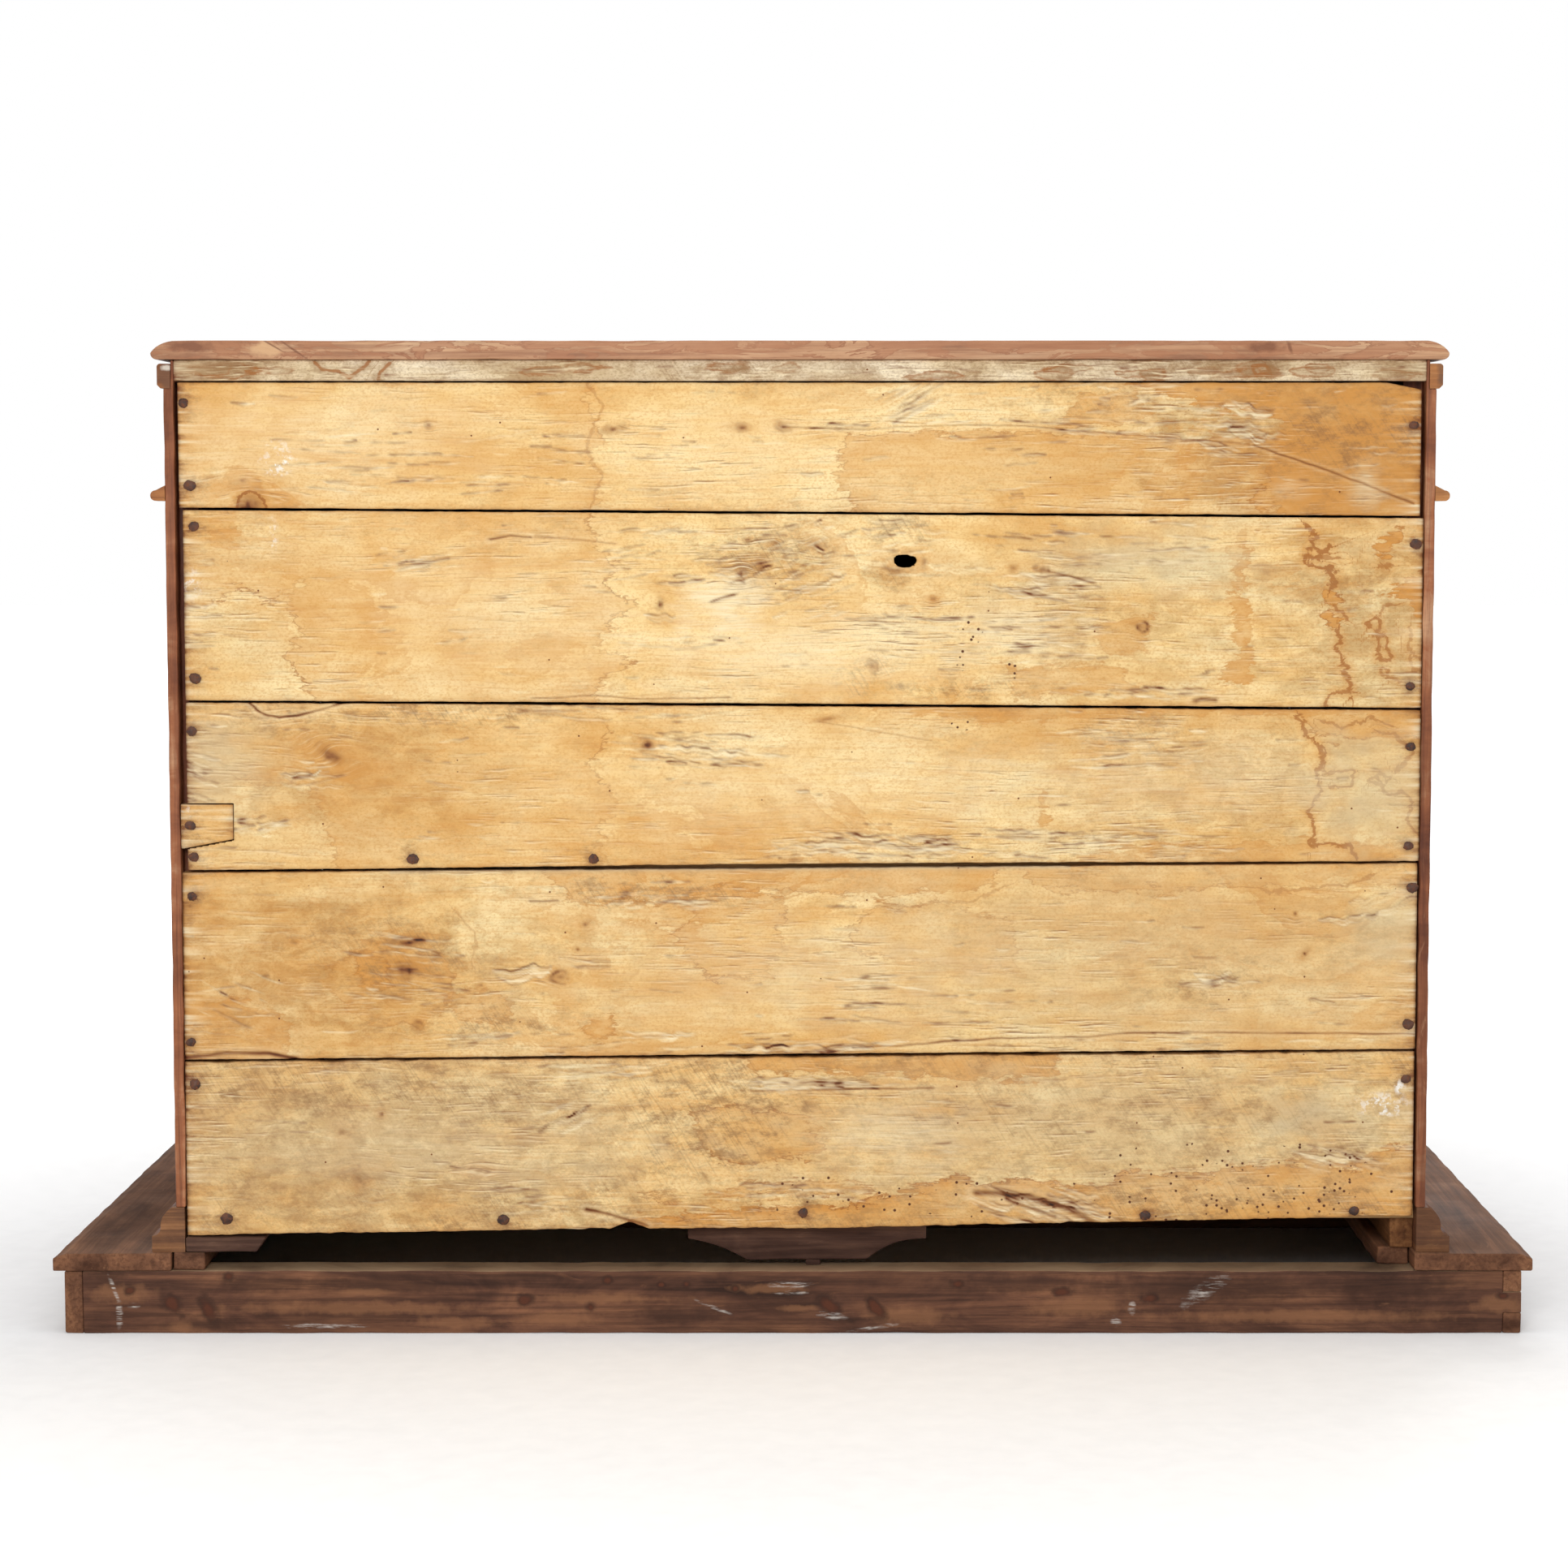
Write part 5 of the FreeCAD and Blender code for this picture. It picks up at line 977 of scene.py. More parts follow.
# Points, half width, strength
TRAILS = {
    1: (([(722, 470), (742, 500), (724, 540), (728, 570), (744, 586), (730, 620)], 2.0, 0.35),
        ([(288, 628), (291, 616), (299, 609), (309, 607), (318, 611), (325, 619), (328, 628)], 2.0, 0.95)),
    2: (([(1610, 650), (1621, 664), (1618, 675), (1627, 680), (1637, 676)], 4.2, 0.95),
        ([(1627, 680), (1628, 686), (1612, 686), (1611, 695), (1622, 700), (1637, 699), (1646, 707),
          (1645, 718), (1640, 726)], 3.2, 0.95),
        ([(1628, 686), (1648, 688)], 2.4, 0.7),
        ([(1644, 748), (1660, 762)], 2.0, 0.8),
        ([(1650, 778), (1652, 793), (1648, 805), (1658, 813), (1661, 821), (1655, 828), (1662, 834),
          (1665, 842), (1666, 856)], 3.2, 0.9),
        ([(1668, 855), (1640, 856), (1636, 868)], 2.6, 0.8),
        ([(1687, 772), (1694, 763), (1700, 768), (1697, 779), (1710, 789), (1712, 810), (1704, 817),
          (1697, 813), (1701, 802), (1700, 789), (1697, 779)], 2.6, 0.85),
        ([(1703, 822), (1712, 824), (1710, 833), (1703, 830), (1703, 822)], 2.2, 0.7),
        ([(1711, 832), (1726, 839)], 2.4, 0.6),
        ([(1700, 699), (1714, 698)], 3.0, 0.7),
        ([(1738, 773), (1736, 794), (1740, 806), (1752, 812), (1752, 826), (1740, 826), (1738, 808)],
          2.0, 0.5),
        ([(1703, 755), (1706, 748), (1722, 744)], 2.2, 0.6)),
    3: (([(1601, 883), (1612, 905), (1630, 924), (1624, 954), (1630, 972), (1612, 998), (1620, 1020),
          (1616, 1038), (1664, 1042), (1671, 1057)], 2.8, 0.85),
        ([(1630, 952), (1668, 950), (1664, 968), (1640, 972)], 2.0, 0.7),
        ([(1700, 900), (1720, 906), (1740, 930), (1722, 950)], 2.4, 0.6),
        ([(1628, 888), (1656, 896), (1690, 884), (1716, 894)], 2.0, 0.6),
        ([(1688, 962), (1700, 950), (1716, 958), (1706, 968), (1688, 962)], 2.0, 0.6),
        ([(1700, 960), (1712, 980), (1726, 976), (1740, 990), (1734, 1010), (1746, 1030)], 2.2, 0.65)),
    4: (([(1560, 1098), (1600, 1098), (1660, 1090), (1690, 1078)], 2.2, 0.4),
        ([(1080, 1118), (1200, 1108), (1240, 1092)], 2.0, 0.35),
        ([(560, 1122), (584, 1150), (584, 1190)], 2.0, 0.3)),
    5: (([(227, 1365), (340, 1364), (452, 1362)], 1.6, 0.35),
        ([(1150, 1340), (1300, 1330), (1460, 1322)], 2.5, 0.25)),
}
# Box, how many, length, width, slope
TEAR_FIELDS = {
    1: (((230, 475, 1740, 620), 70, 30, 2.6), ((1470, 495, 1570, 560), 22, 40, 6.0, -0.1),
        ((360, 530, 700, 615), 40, 50, 2.4), ((930, 515, 1540, 545), 26, 50, 3.0),
        ((1270, 470, 1440, 530), 16, 40, 4.0, 0.1), ((1105, 474, 1150, 508), 22, 34, 5.0, 0.6)),
    2: (((230, 640, 1740, 860), 80, 26, 2.6), ((870, 640, 1045, 760), 60, 20, 4.0, 0.3),
        ((745, 650, 850, 720), 26, 36, 3.6, 0.08), ((1060, 640, 1160, 680), 14, 36, 4.0, 0.05),
        ((1075, 755, 1360, 812), 60, 40, 4.0, 0.02), ((1240, 640, 1500, 700), 30, 46, 3.6),
        ((1240, 706, 1350, 736), 16, 50, 5.0, -0.1), ((480, 678, 560, 702), 16, 44, 3.6, 0.15),
        ((226, 690, 260, 790), 16, 22, 5.0), ((1290, 840, 1480, 862), 22, 40, 3.6),
        ((740, 780, 900, 800), 12, 40, 3.0)),
    3: (((230, 875, 1740, 1055), 70, 26, 2.6), ((346, 944, 400, 966), 6, 40, 6.0, 0.1),
        ((289, 1008, 356, 1030), 18, 26, 4.0, 0.15), ((950, 1026, 1190, 1058), 34, 56, 5.0, -0.02),
        ((805, 900, 930, 942), 20, 60, 4.0, -0.06), ((226, 920, 270, 986), 20, 26, 5.0, -0.3),
        ((1220, 1020, 1480, 1058), 34, 50, 4.0), ((1330, 890, 1480, 945), 26, 44, 4.0, 0.05),
        ((500, 870, 920, 890), 18, 50, 3.0)),
    4: (((230, 1080, 1740, 1290), 70, 28, 2.6), ((1472, 1196, 1516, 1216), 6, 44, 6.0),
        ((440, 1150, 560, 1230), 26, 36, 3.4, -0.1), ((560, 1270, 1100, 1300), 36, 60, 4.6, 0.06),
        ((750, 1096, 860, 1116), 12, 34, 4.0), ((1000, 1200, 1240, 1260), 26, 46, 3.0),
        ((250, 1200, 330, 1260), 12, 26, 3.0, -0.4), ((1220, 1278, 1740, 1296), 16, 50, 3.0)),
    5: (((235, 1320, 1740, 1490), 50, 22, 2.4), ((920, 1326, 1080, 1342), 14, 70, 6.0),
        ((1205, 1462, 1350, 1508), 34, 50, 7.0, -0.3), ((880, 1458, 1080, 1476), 12, 60, 4.0),
        ((665, 1362, 726, 1392), 8, 46, 4.0, 0.5), ((700, 1310, 800, 1330), 10, 60, 4.0),
        ((600, 1460, 700, 1500), 16, 36, 3.0), ((1600, 1415, 1690, 1440), 14, 30, 5.0, -0.2)),
}
# Start, end, width, depth, dark, pale
TEARS = {
    1: (((1500, 494), (1572, 506), 15, 1.6, 0.5, 1.0), ((1512, 522), (1564, 534), 15, 1.6, 0.5, 1.0),
        ((1474, 540), (1530, 552), 8, 1.0, 0.4, 0.7)),
    2: (((1255, 706), (1350, 716), 12, 1.4, 0.6, 0.9), ((1040, 686), (1098, 692), 9, 0.6, 0.3, 0.35),
        ((1135, 694), (1230, 702), 9, 0.5, 0.2, 0.35), ((793, 756), (833, 758), 10, 0.8, 0.4, 0.8),
        ((944, 676), (966, 667), 7, 1.0, 0.8, 0.6), ((934, 700), (952, 696), 5, 0.8, 0.9, 0.3),
        ((908, 704), (919, 716), 6, 1.0, 0.9, 0.3), ((1000, 668), (1016, 680), 6, 1.0, 0.7, 0.5),
        ((1002, 645), (1014, 640), 6, 1.0, 0.7, 0.5), ((978, 728), (1044, 706), 9, 1.0, 0.45, 1.0),
        ((880, 704), (926, 720), 8, 0.8, 0.2, 1.0), ((884, 726), (926, 740), 7, 0.6, 0.2, 1.0),
        ((960, 716), (990, 700), 6, 0.8, 0.4, 0.8)),
    3: (((346, 956), (396, 950), 10, 1.4, 0.5, 0.9), ((808, 916), (925, 930), 8, 1.0, 0.5, 0.8),
        ((820, 938), (848, 940), 5, 0.8, 0.5, 0.1), ((1075, 1036), (1186, 1044), 12, 1.4, 0.5, 0.9),
        ((950, 1042), (1060, 1046), 8, 1.0, 0.4, 0.6)),
    4: (((606, 1196), (682, 1188), 19, 2.0, 0.5, 1.0), ((1470, 1200), (1518, 1200), 12, 1.2, 0.4, 0.9),
        ((1622, 1134), (1700, 1126), 9, 1.6, 0.5, 1.0), ((1680, 1132), (1748, 1102), 9, 1.6, 0.4, 0.9),
        ((1660, 1112), (1722, 1096), 12, 1.2, 0.3, 0.3), ((900, 1290), (1080, 1288), 9, 1.2, 0.5, 0.7)),
    5: (((925, 1328), (1075, 1330), 13, 1.4, 0.3, 0.9), ((662, 1394), (728, 1360), 9, 1.6, 0.7, 0.1),
        ((1600, 1420), (1680, 1426), 12, 1.6, 0.6, 0.6)),
}
# Points, half width, depth, dark
CRACKS = {
    1: (([(1546, 549), (1645, 583), (1743, 620)], 1.3, 1.5, 0.6),
        ([(964, 526), (1060, 529), (1190, 523), (1246, 524), (1540, 548)], 1.1, 0.8, 0.35)),
    2: (([(603, 664), (628, 660), (655, 662)], 1.4, 1.0, 0.7),
        ([(655, 662), (700, 664), (757, 670)], 1.1, 0.6, 0.35),
        ([(1290, 703), (1348, 718)], 1.6, 1.2, 0.6),
        ([(655, 861), (730, 857), (790, 861), (900, 859)], 1.1, 0.8, 0.5),
        ([(1472, 865), (1480, 862), (1498, 863)], 3.0, 2.0, 0.8)),
    3: (([(306, 865), (316, 874), (328, 881), (345, 884), (365, 882), (392, 876), (420, 868), (448, 862)],
          1.3, 2.0, 0.95),
        ([(1010, 890), (1150, 913)], 1.0, 0.4, 0.25)),
    4: (([(1050, 1292), (1220, 1280), (1342, 1277), (1398, 1272), (1742, 1274)], 1.2, 1.2, 0.6),
        ([(228, 1304), (280, 1298), (330, 1299), (366, 1305)], 2.4, 2.5, 0.8),
        ([(654, 1110), (690, 1110)], 1.4, 0.8, 0.5)),
    5: (([(1203, 1470), (1270, 1474), (1320, 1492), (1354, 1510)], 3.2, 4.0, 0.7),
        ([(1240, 1478), (1300, 1500)], 2.2, 3.0, 0.6),
        ([(721, 1490), (760, 1500), (796, 1510)], 2.0, 3.0, 0.8),
        ([(925, 1344), (1040, 1342), (1150, 1341)], 1.3, 0.8, 0.5)),
}
# Field, x, y, half width, half height, amount
# The shade patches darken the planks: partly grime, partly painted shade where the back grows darker towards
# its sides and bottom as the light falls off
PATCHES = {
    1: (("shade", 1660, 555, 200, 150, 1.45), ("shade", 1420, 560, 170, 90, 0.3),
        ("pale", 400, 540, 200, 60, 0.3), ("pale", 880, 560, 150, 50, 0.25),
        ("rough", 1500, 530, 120, 50, 0.8), ("grey", 1640, 550, 130, 80, 0.6),
        ("amber", 1640, 550, 130, 80, 0.35), ("rust", 1660, 552, 170, 95, 0.22),
        ("chalk", 340, 566, 20, 20, 0.9), ("grey", 1350, 490, 120, 24, 0.6),
        ("pale", 1590, 600, 26, 14, 0.3), ("pale", 1684, 598, 20, 28, 0.3), ("ash", 1684, 600, 22, 30, 0.3),
        ("chalk", 433, 480, 5, 5, 0.9)),
    2: (("shade", 1690, 760, 130, 150, 0.7), ("shade", 300, 740, 130, 140, 0.25),
        ("shade", 1350, 760, 200, 120, 0.42), ("rough", 958, 700, 90, 60, 1.0),
        # Next line: the pale patch at 890, 740 is a painted highlight; the grey and shade patches beside it
        # are grime
        ("grey", 950, 690, 80, 55, 0.9), ("shade", 955, 688, 70, 42, 0.5), ("pale", 890, 740, 60, 34, 0.9),
        ("pale", 1000, 800, 200, 50, 0.45), ("pale", 620, 750, 200, 80, 0.2),
        ("worm", 1192, 782, 24, 18, 0.9), ("worm", 1180, 816, 13, 11, 0.9),
        ("worm", 1246, 825, 10, 11, 0.9), ("chalk", 336, 660, 6, 22, 0.7), ("grey", 1094, 712, 36, 16, 1.0),
        ("shade", 1092, 708, 30, 14, 0.6), ("grey", 1110, 656, 44, 22, 0.8),
        ("grey", 1070, 830, 34, 30, 0.9), ("rough", 1220, 780, 130, 50, 1.0),
        ("pale", 1250, 780, 90, 34, 0.5), ("ash", 1420, 690, 130, 40, 0.5),
        ("chalk", 236, 720, 12, 20, 0.5), ("grey", 1640, 700, 120, 60, 0.4),
        ("grey", 1180, 850, 90, 16, 0.8)),
    3: (("shade", 400, 950, 220, 110, 0.5), ("shade", 1480, 960, 300, 120, 0.52),
        ("ash", 262, 936, 70, 66, 0.55), ("pale", 1400, 960, 240, 50, 0.3),
        ("pale", 960, 970, 240, 70, 0.2), ("rough", 1250, 1040, 260, 24, 0.8),
        ("ash", 1690, 975, 80, 75, 0.5), ("grey", 520, 880, 120, 16, 1.0), ("grey", 1400, 910, 90, 40, 0.7),
        ("grey", 330, 890, 90, 20, 0.6), ("rough", 1400, 920, 100, 40, 0.8),
        ("worm", 1190, 895, 30, 6, 0.7), ("grey", 1160, 1040, 60, 20, 0.4)),
    4: (("shade", 380, 1200, 240, 130, 0.75), ("shade", 1400, 1180, 400, 130, 0.32),
        ("ash", 1400, 1190, 420, 130, 0.2), ("shade", 800, 1190, 220, 120, 0.2),
        ("amber", 340, 1200, 170, 100, 0.3), ("pale", 1000, 1200, 300, 60, 0.25),
        ("grey", 480, 1180, 110, 60, 0.6), ("grey", 800, 1100, 140, 20, 0.9),
        ("ash", 1700, 1150, 60, 50, 0.4), ("grey", 600, 1260, 140, 30, 0.7),
        ("amber", 1400, 1140, 200, 50, 0.2), ("grey", 1500, 1210, 120, 40, 0.4)),
    5: (("shade", 450, 1410, 330, 130, 0.9), ("shade", 1400, 1400, 500, 130, 0.34),
        ("shade", 900, 1400, 250, 120, 0.14), ("ash", 470, 1400, 330, 120, 0.3),
        ("ash", 1360, 1385, 400, 90, 0.4), ("shade", 1000, 1510, 800, 40, 0.35),
        ("grey", 420, 1340, 200, 30, 0.6), ("grey", 868, 1372, 90, 62, 1.35),
        ("worm", 1550, 1468, 210, 50, 0.3), ("chalk", 1698, 1362, 32, 16, 0.9),
        ("pale", 1100, 1400, 90, 40, 0.4), ("amber", 1650, 1470, 120, 40, 0.3),
        ("grey", 1500, 1480, 160, 24, 0.7), ("pale", 560, 1420, 240, 40, 0.2),
        ("chalk", 1724, 1340, 6, 8, 0.8), ("worm", 1100, 1480, 160, 26, 0.25),
        ("ash", 1640, 1380, 110, 40, 0.4)),
}
FEATURES = (
    (KNOTS, Board.knot), (STAINS, Board.stain), (TRAILS, Board.trail), (TEARS, Board.tear),
    (CRACKS, Board.crack), (PATCHES, Board.patch))
for features, shape in FEATURES:
    for number, rows in features.items():
        for row in rows:
            shape(planks[number], *row)
for number, rows in TEAR_FIELDS.items():
    for draw, row in enumerate(rows):
        planks[number].tears(*row, number=draw)
for plank in planks.values():
    for _, _, nail_x, nail_y in nails:
        plank.rusty(nail_x, nail_y)
# Painted highlight: a pale line along the top arris of the fourth plank, where the light catches it
ARRIS_LEFT, ARRIS_RIGHT = 480, 1320
lit = (planks[4].px > ARRIS_LEFT) & (planks[4].px < ARRIS_RIGHT)
planks[4].field["ash"] += 0.9 * lit * np.exp(-planks[4].under / 2.5)


def knot_hole(board):
    """The knot that has fallen out of the second plank: below nought inside it, and its middle."""
    x, y, wide, tall = 1115, 691, 15.5, 8.0
    fray = 0.2 * board.cloud(32, 7, 5, 3) + 0.1 * board.cloud(33, 3, 9, 1)
    level = np.hypot((board.px - x) / wide, (board.py - y) / tall) * (1 + fray) - 1
    return level, on_photo(x, y, board.face)


SEAT_STEPS, SEAT_GAP = 40, 0.8 * MM


def patch_seat(board):
    """The place of the patch at the end of the third plank."""
    low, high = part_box("back_patch")
    xs = np.linspace(low.x, high.x, SEAT_STEPS)
    bottom, top = (np.interp(board.x, xs, edge) for edge in Board.edges("back_patch", xs, low, high))
    inside = (board.x > low.x - SEAT_GAP) & (board.z > bottom - SEAT_GAP) & (board.z < top + SEAT_GAP)
    return np.where(inside, -1.0, 1.0), None


for number, plank in planks.items():
    through = {2: knot_hole, 3: patch_seat}.get(number)
    plank.build(f"plank_{number}", plank_wood, "poplar_plank", through)

FINE_ROW, FINE_RAGGED = 1.0 * MM, 0.5
PATCH_MOST, PATCH_SEED = 6000, 61
PATCH_TINT = 0.2, 0.3, 0.1, 0.2
PATCH_CHALK = 234, 1000, 14, 8, 0.6
let_in = Board("back_patch", FINE_ROW, PATCH_MOST, PATCH_SEED, FINE_RAGGED)
let_in.base(*PATCH_TINT)
let_in.patch("chalk", *PATCH_CHALK)
for _, _, nail_x, nail_y in nails:
    let_in.rusty(nail_x, nail_y)
let_in.build("plank_patch", patch_wood, "poplar_patch")

STRIP_MOST, STRIP_SEED = 40000, 71
STRIP_TINT = 0.0, 0.6, 0.4, 0.5
STRIP_TEARS = (230, 446, 1755, 468), 60, 30, 2.4
strip = Board("top_rear_rail", FINE_ROW, STRIP_MOST, STRIP_SEED, FINE_RAGGED)
strip.base(*STRIP_TINT)
strip.tears(*STRIP_TEARS)
SQUIGGLES = (
    [(388, 447), (398, 455), (418, 458), (430, 465), (446, 454), (455, 446)],
    [(466, 466), (468, 458), (480, 448)],
    [(1544, 452), (1560, 450), (1566, 460), (1548, 462), (1544, 452)])
SQUIGGLE_WIDE, SQUIGGLE_STRENGTH = 2.2, 0.9
for squiggle in SQUIGGLES:
    strip.trail(squiggle, SQUIGGLE_WIDE, SQUIGGLE_STRENGTH)
# x, half width
SMUDGES = (300, 40), (870, 70), (1190, 24), (1440, 40), (1500, 34), (1560, 30), (1640, 24), (1730, 24)
STRIP_MIDDLE, SMUDGE_TALL, SMUDGE_GRAIN = 456, 14, 18
for smudge_x, smudge_wide in SMUDGES:
    for field_name, amount in (("grey", 1.0), ("shade", 0.8)):
        strip.patch(field_name, smudge_x, STRIP_MIDDLE, smudge_wide, SMUDGE_TALL, amount, SMUDGE_GRAIN)
blot_draw = np.random.default_rng(9)
BLOTS, CORNERS = 18, 9
BLOT_LEFT, BLOT_RIGHT = 240, 1745
# Half width, half height, y
BLOT_LEAST, BLOT_MOST = (16, 5, 450), (46, 11, 464)
# Strength, how far the colour fades inwards, strength of the edge
BLOT_LOOK = 0.35, 24, 0.6
for blot_x in blot_draw.uniform(BLOT_LEFT, BLOT_RIGHT, BLOTS):
    wide, tall, blot_y = blot_draw.uniform(BLOT_LEAST, BLOT_MOST)
    turns = np.arange(CORNERS) * 2 * math.pi / CORNERS
    reach = blot_draw.uniform(0.6, 1.2, CORNERS)
    outline_x, outline_y = blot_x + wide * reach * np.cos(turns), blot_y + tall * reach * np.sin(turns)
    strip.stain(list(zip(outline_x, outline_y)), *BLOT_LOOK)
strip.build("rear_strip", grey_wood, "grey_poplar")

# Case and platform

# Spacing of the cuts along each axis, radius of the arrises and wobble, in mm
MOULDING = {"x": 40.0, "y": 40.0}, 1.0, 0.5
LONG_RAIL = {"x": 16.0}, 2.0, 1.2
DEEP_RAIL = {"y": 16.0}, 2.0, 1.2
# Nodes, material, slot, and the same three
WORN = (
    (("left_side", "right_side"), side_wood, "walnut", {"z": 14.0}, 1.6, 1.2),
    (("top_board",), top_wood, "walnut", {"x": 14.0, "y": 40.0}, 1.6, 0.9),
    (("base_moulding",), base_wood, "walnut", *MOULDING),
    (("belt_moulding", "cornice_moulding"), block_wood, "walnut", *MOULDING),
    (("platform_rear_rail",), rail_wood, "dark_walnut", *LONG_RAIL),
    (("platform_front_rail", "platform_cross_rail", "platform_front_board"), dark_wood["x"], "dark_walnut",
     *LONG_RAIL),
    (("platform_left_board", "platform_right_board", "platform_side_rails", "platform_bearers"),
     dark_wood["y"], "dark_walnut", *DEEP_RAIL),
    (("centre_rear_foot",), foot_wood, "walnut", {"x": 12.0}, 1.6, 1.0),
    (("right_rear_foot",), foot_wood, "walnut", {"x": 12.0}, 2.0, 1.2),
    (("side_skids",), skid_wood, "walnut", {"y": 20.0}, 2.0, 1.0),
    (("left_stile", "right_stile", "centre_stile", "drawer_divider"), walnut["z"], "walnut", {"z": 50.0},
     0.8, 0.2),
    (("belt_rail", "bottom_front_rail", "top_front_rail"), walnut["x"], "walnut", {"x": 50.0}, 0.8, 0.2),
)
for nodes, *wear in WORN:
    for name in nodes:
        worn(name, "case", *wear)

MATERIALS = {
    "bottom_board": inner_wood["x"], "shelf": inner_wood["x"], "shelf_battens": inner_wood["y"],
    "door_stops": inner_wood["x"], "drawer_runners": inner_wood["y"], "hinge_pintles": forged,
}
for hand in ("left", "right"):
    for part, piece, axis in (("door", "stiles", "z"), ("door", "rails", "x"), ("drawer", "front", "x")):
        body = f"{hand}_{part}"
        worn(f"{body}_{piece}", body, walnut[axis], "walnut", {axis: FRONT_CUTS}, *FRONT_WEAR)
    MATERIALS.update({
        f"{hand}_door_panel": walnut["z"], f"{hand}_door_straps": forged, f"{hand}_door_lock_case": forged,
        f"{hand}_door_bolt": forged, f"{hand}_door_key": forged, f"{hand}_drawer_walls": inner_wood["x"],
        f"{hand}_drawer_bottom": inner_wood["x"], f"{hand}_drawer_knob": walnut["x"],
    })
for name, material in MATERIALS.items():
    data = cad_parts[name].data
    data.materials.clear()
    data.materials.append(material)


def dome(shape, rings, tip):
    """Faces from ring to ring, and from the last ring to a tip."""
    sides = len(rings[0])
    for side in range(sides):
        after = (side + 1) % sides
        for inner, outer in zip(rings, rings[1:]):
            shape.faces.new((inner[side], inner[after], outer[after], outer[side]))
        shape.faces.new((rings[-1][side], rings[-1][after], tip))


NAIL_SIDES = 8, 12
NAIL_RADII = 5.8, 7.4
# Share of the radius, rise above the planks in mm
NAIL_RINGS = (1.0, 0.2), (0.94, 1.2), (0.5, 2.3)
NAIL_PEAK, NAIL_ROOT = 2.9 * MM, 24 * MM


def forged_nails():
    """Rose-headed nails, each hammered a little differently."""
    rng = np.random.default_rng(5)
    shape = bmesh.new()
    for x, z, _, _ in nails:
        sides = int(rng.integers(*NAIL_SIDES))
        size = rng.uniform(*NAIL_RADII) * MM
        squash = rng.uniform(0.8, 1.0)
        turn = rng.uniform(0, math.pi)
        rings = []
        for share, rise in NAIL_RINGS:
            points = []
            for side in range(sides):
                angle = turn + 2 * math.pi * (side + rng.uniform(-0.12, 0.12)) / sides
                reach = size * share * rng.uniform(0.84, 1.12)
                y = BACK_FACE + (rise + rng.uniform(-0.15, 0.15)) * MM
                up = squash * reach * math.sin(angle)
                points.append(shape.verts.new((x + reach * math.cos(angle), y, z + up)))
            rings.append(points)
        peak = x + rng.uniform(-1, 1) * MM, BACK_FACE + NAIL_PEAK, z + rng.uniform(-1, 1) * MM
        dome(shape, rings, shape.verts.new(peak))
        dome(shape, [rings[0][::-1]], shape.verts.new((x, BACK_FACE - NAIL_ROOT, z)))
    bmesh.ops.recalc_face_normals(shape, faces=shape.faces)
    made = shaped("nail_heads", shape, "case", nail_iron, "nail_iron")
    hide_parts("back_nails")


forged_nails()

# Fittings that the photograph doesn't show


def extruded(name, outline, hole, near, far, body, material, slot):
    """A flat plate across the depth, from an outline in x and z and a hole through it."""
    shape = bmesh.new()
    loops = []
    for points in (outline, hole):
        verts = [shape.verts.new((x, near, z)) for x, z in points]
        loops += [shape.edges.new((a, b)) for a, b in zip(verts, verts[1:] + verts[:1])]
    bmesh.ops.triangle_fill(shape, edges=loops, normal=(0, -1, 0))
    back = bmesh.ops.extrude_face_region(shape, geom=shape.faces[:])["geom"]
    moved = [part for part in back if isinstance(part, bmesh.types.BMVert)]
    bmesh.ops.translate(shape, verts=moved, vec=(0, far - near, 0))
    bmesh.ops.recalc_face_normals(shape, faces=shape.faces)
    shaped(name, shape, body, material, slot)


def ring(x, z, wide, tall, lobes, swell, count):
    """Points round an oval with lobes."""
    points = []
    for step in range(count):
        angle = 2 * math.pi * step / count
        reach = 1 + swell * math.cos(lobes * angle)
        points.append((x + wide * reach * math.cos(angle), z + tall * reach * math.sin(angle)))
    return points


STUD_SIDES = 8
# Share of the radius, share of the rise
STUD_RINGS = (1.0, 0.0), (0.9, 0.45), (0.5, 0.85)


def studs(name, places, face, size, rise, body, material, slot):
    """Low hammered nail heads on a face that looks to the front."""
    rng = np.random.default_rng(len(places) + int(1000 * abs(places[0][0])))
    shape = bmesh.new()
    for x, z in places:
        rings = []
        for share, depth in STUD_RINGS:
            points = []
            for side in range(STUD_SIDES):
                angle = 2 * math.pi * side / STUD_SIDES
                right = size * share * rng.uniform(0.92, 1.0) * math.cos(angle)
                up = size * share * rng.uniform(0.92, 1.0) * math.sin(angle)
                points.append(shape.verts.new((x + right, face - rise * depth, z + up)))
            rings.append(points)
        dome(shape, rings, shape.verts.new((x, face - rise, z)))
        shape.faces.new(rings[0][::-1])
    bmesh.ops.recalc_face_normals(shape, faces=shape.faces)
    shaped(name, shape, body, material, slot)


# Half sizes of the lock plate and of the hole in it, and where its pins are
PLATE_WIDE, PLATE_TALL, PLATE_THICK, PLATE_DROP = 15 * MM, 27 * MM, 1.4 * MM, 3 * MM
HOLE_WIDE, HOLE_TALL = 6.5 * MM, 13 * MM
PIN_ASIDE, PIN_UP, PIN_SEAT = 10 * MM, 18 * MM, 1.3 * MM
PIN_SIZE, PIN_RISE = 2.2 * MM, 1.2 * MM
STUD_SIZE, STUD_RISE = 3.6 * MM, 2.2 * MM
STUD_SHARES = 0.3, 0.52, 0.74
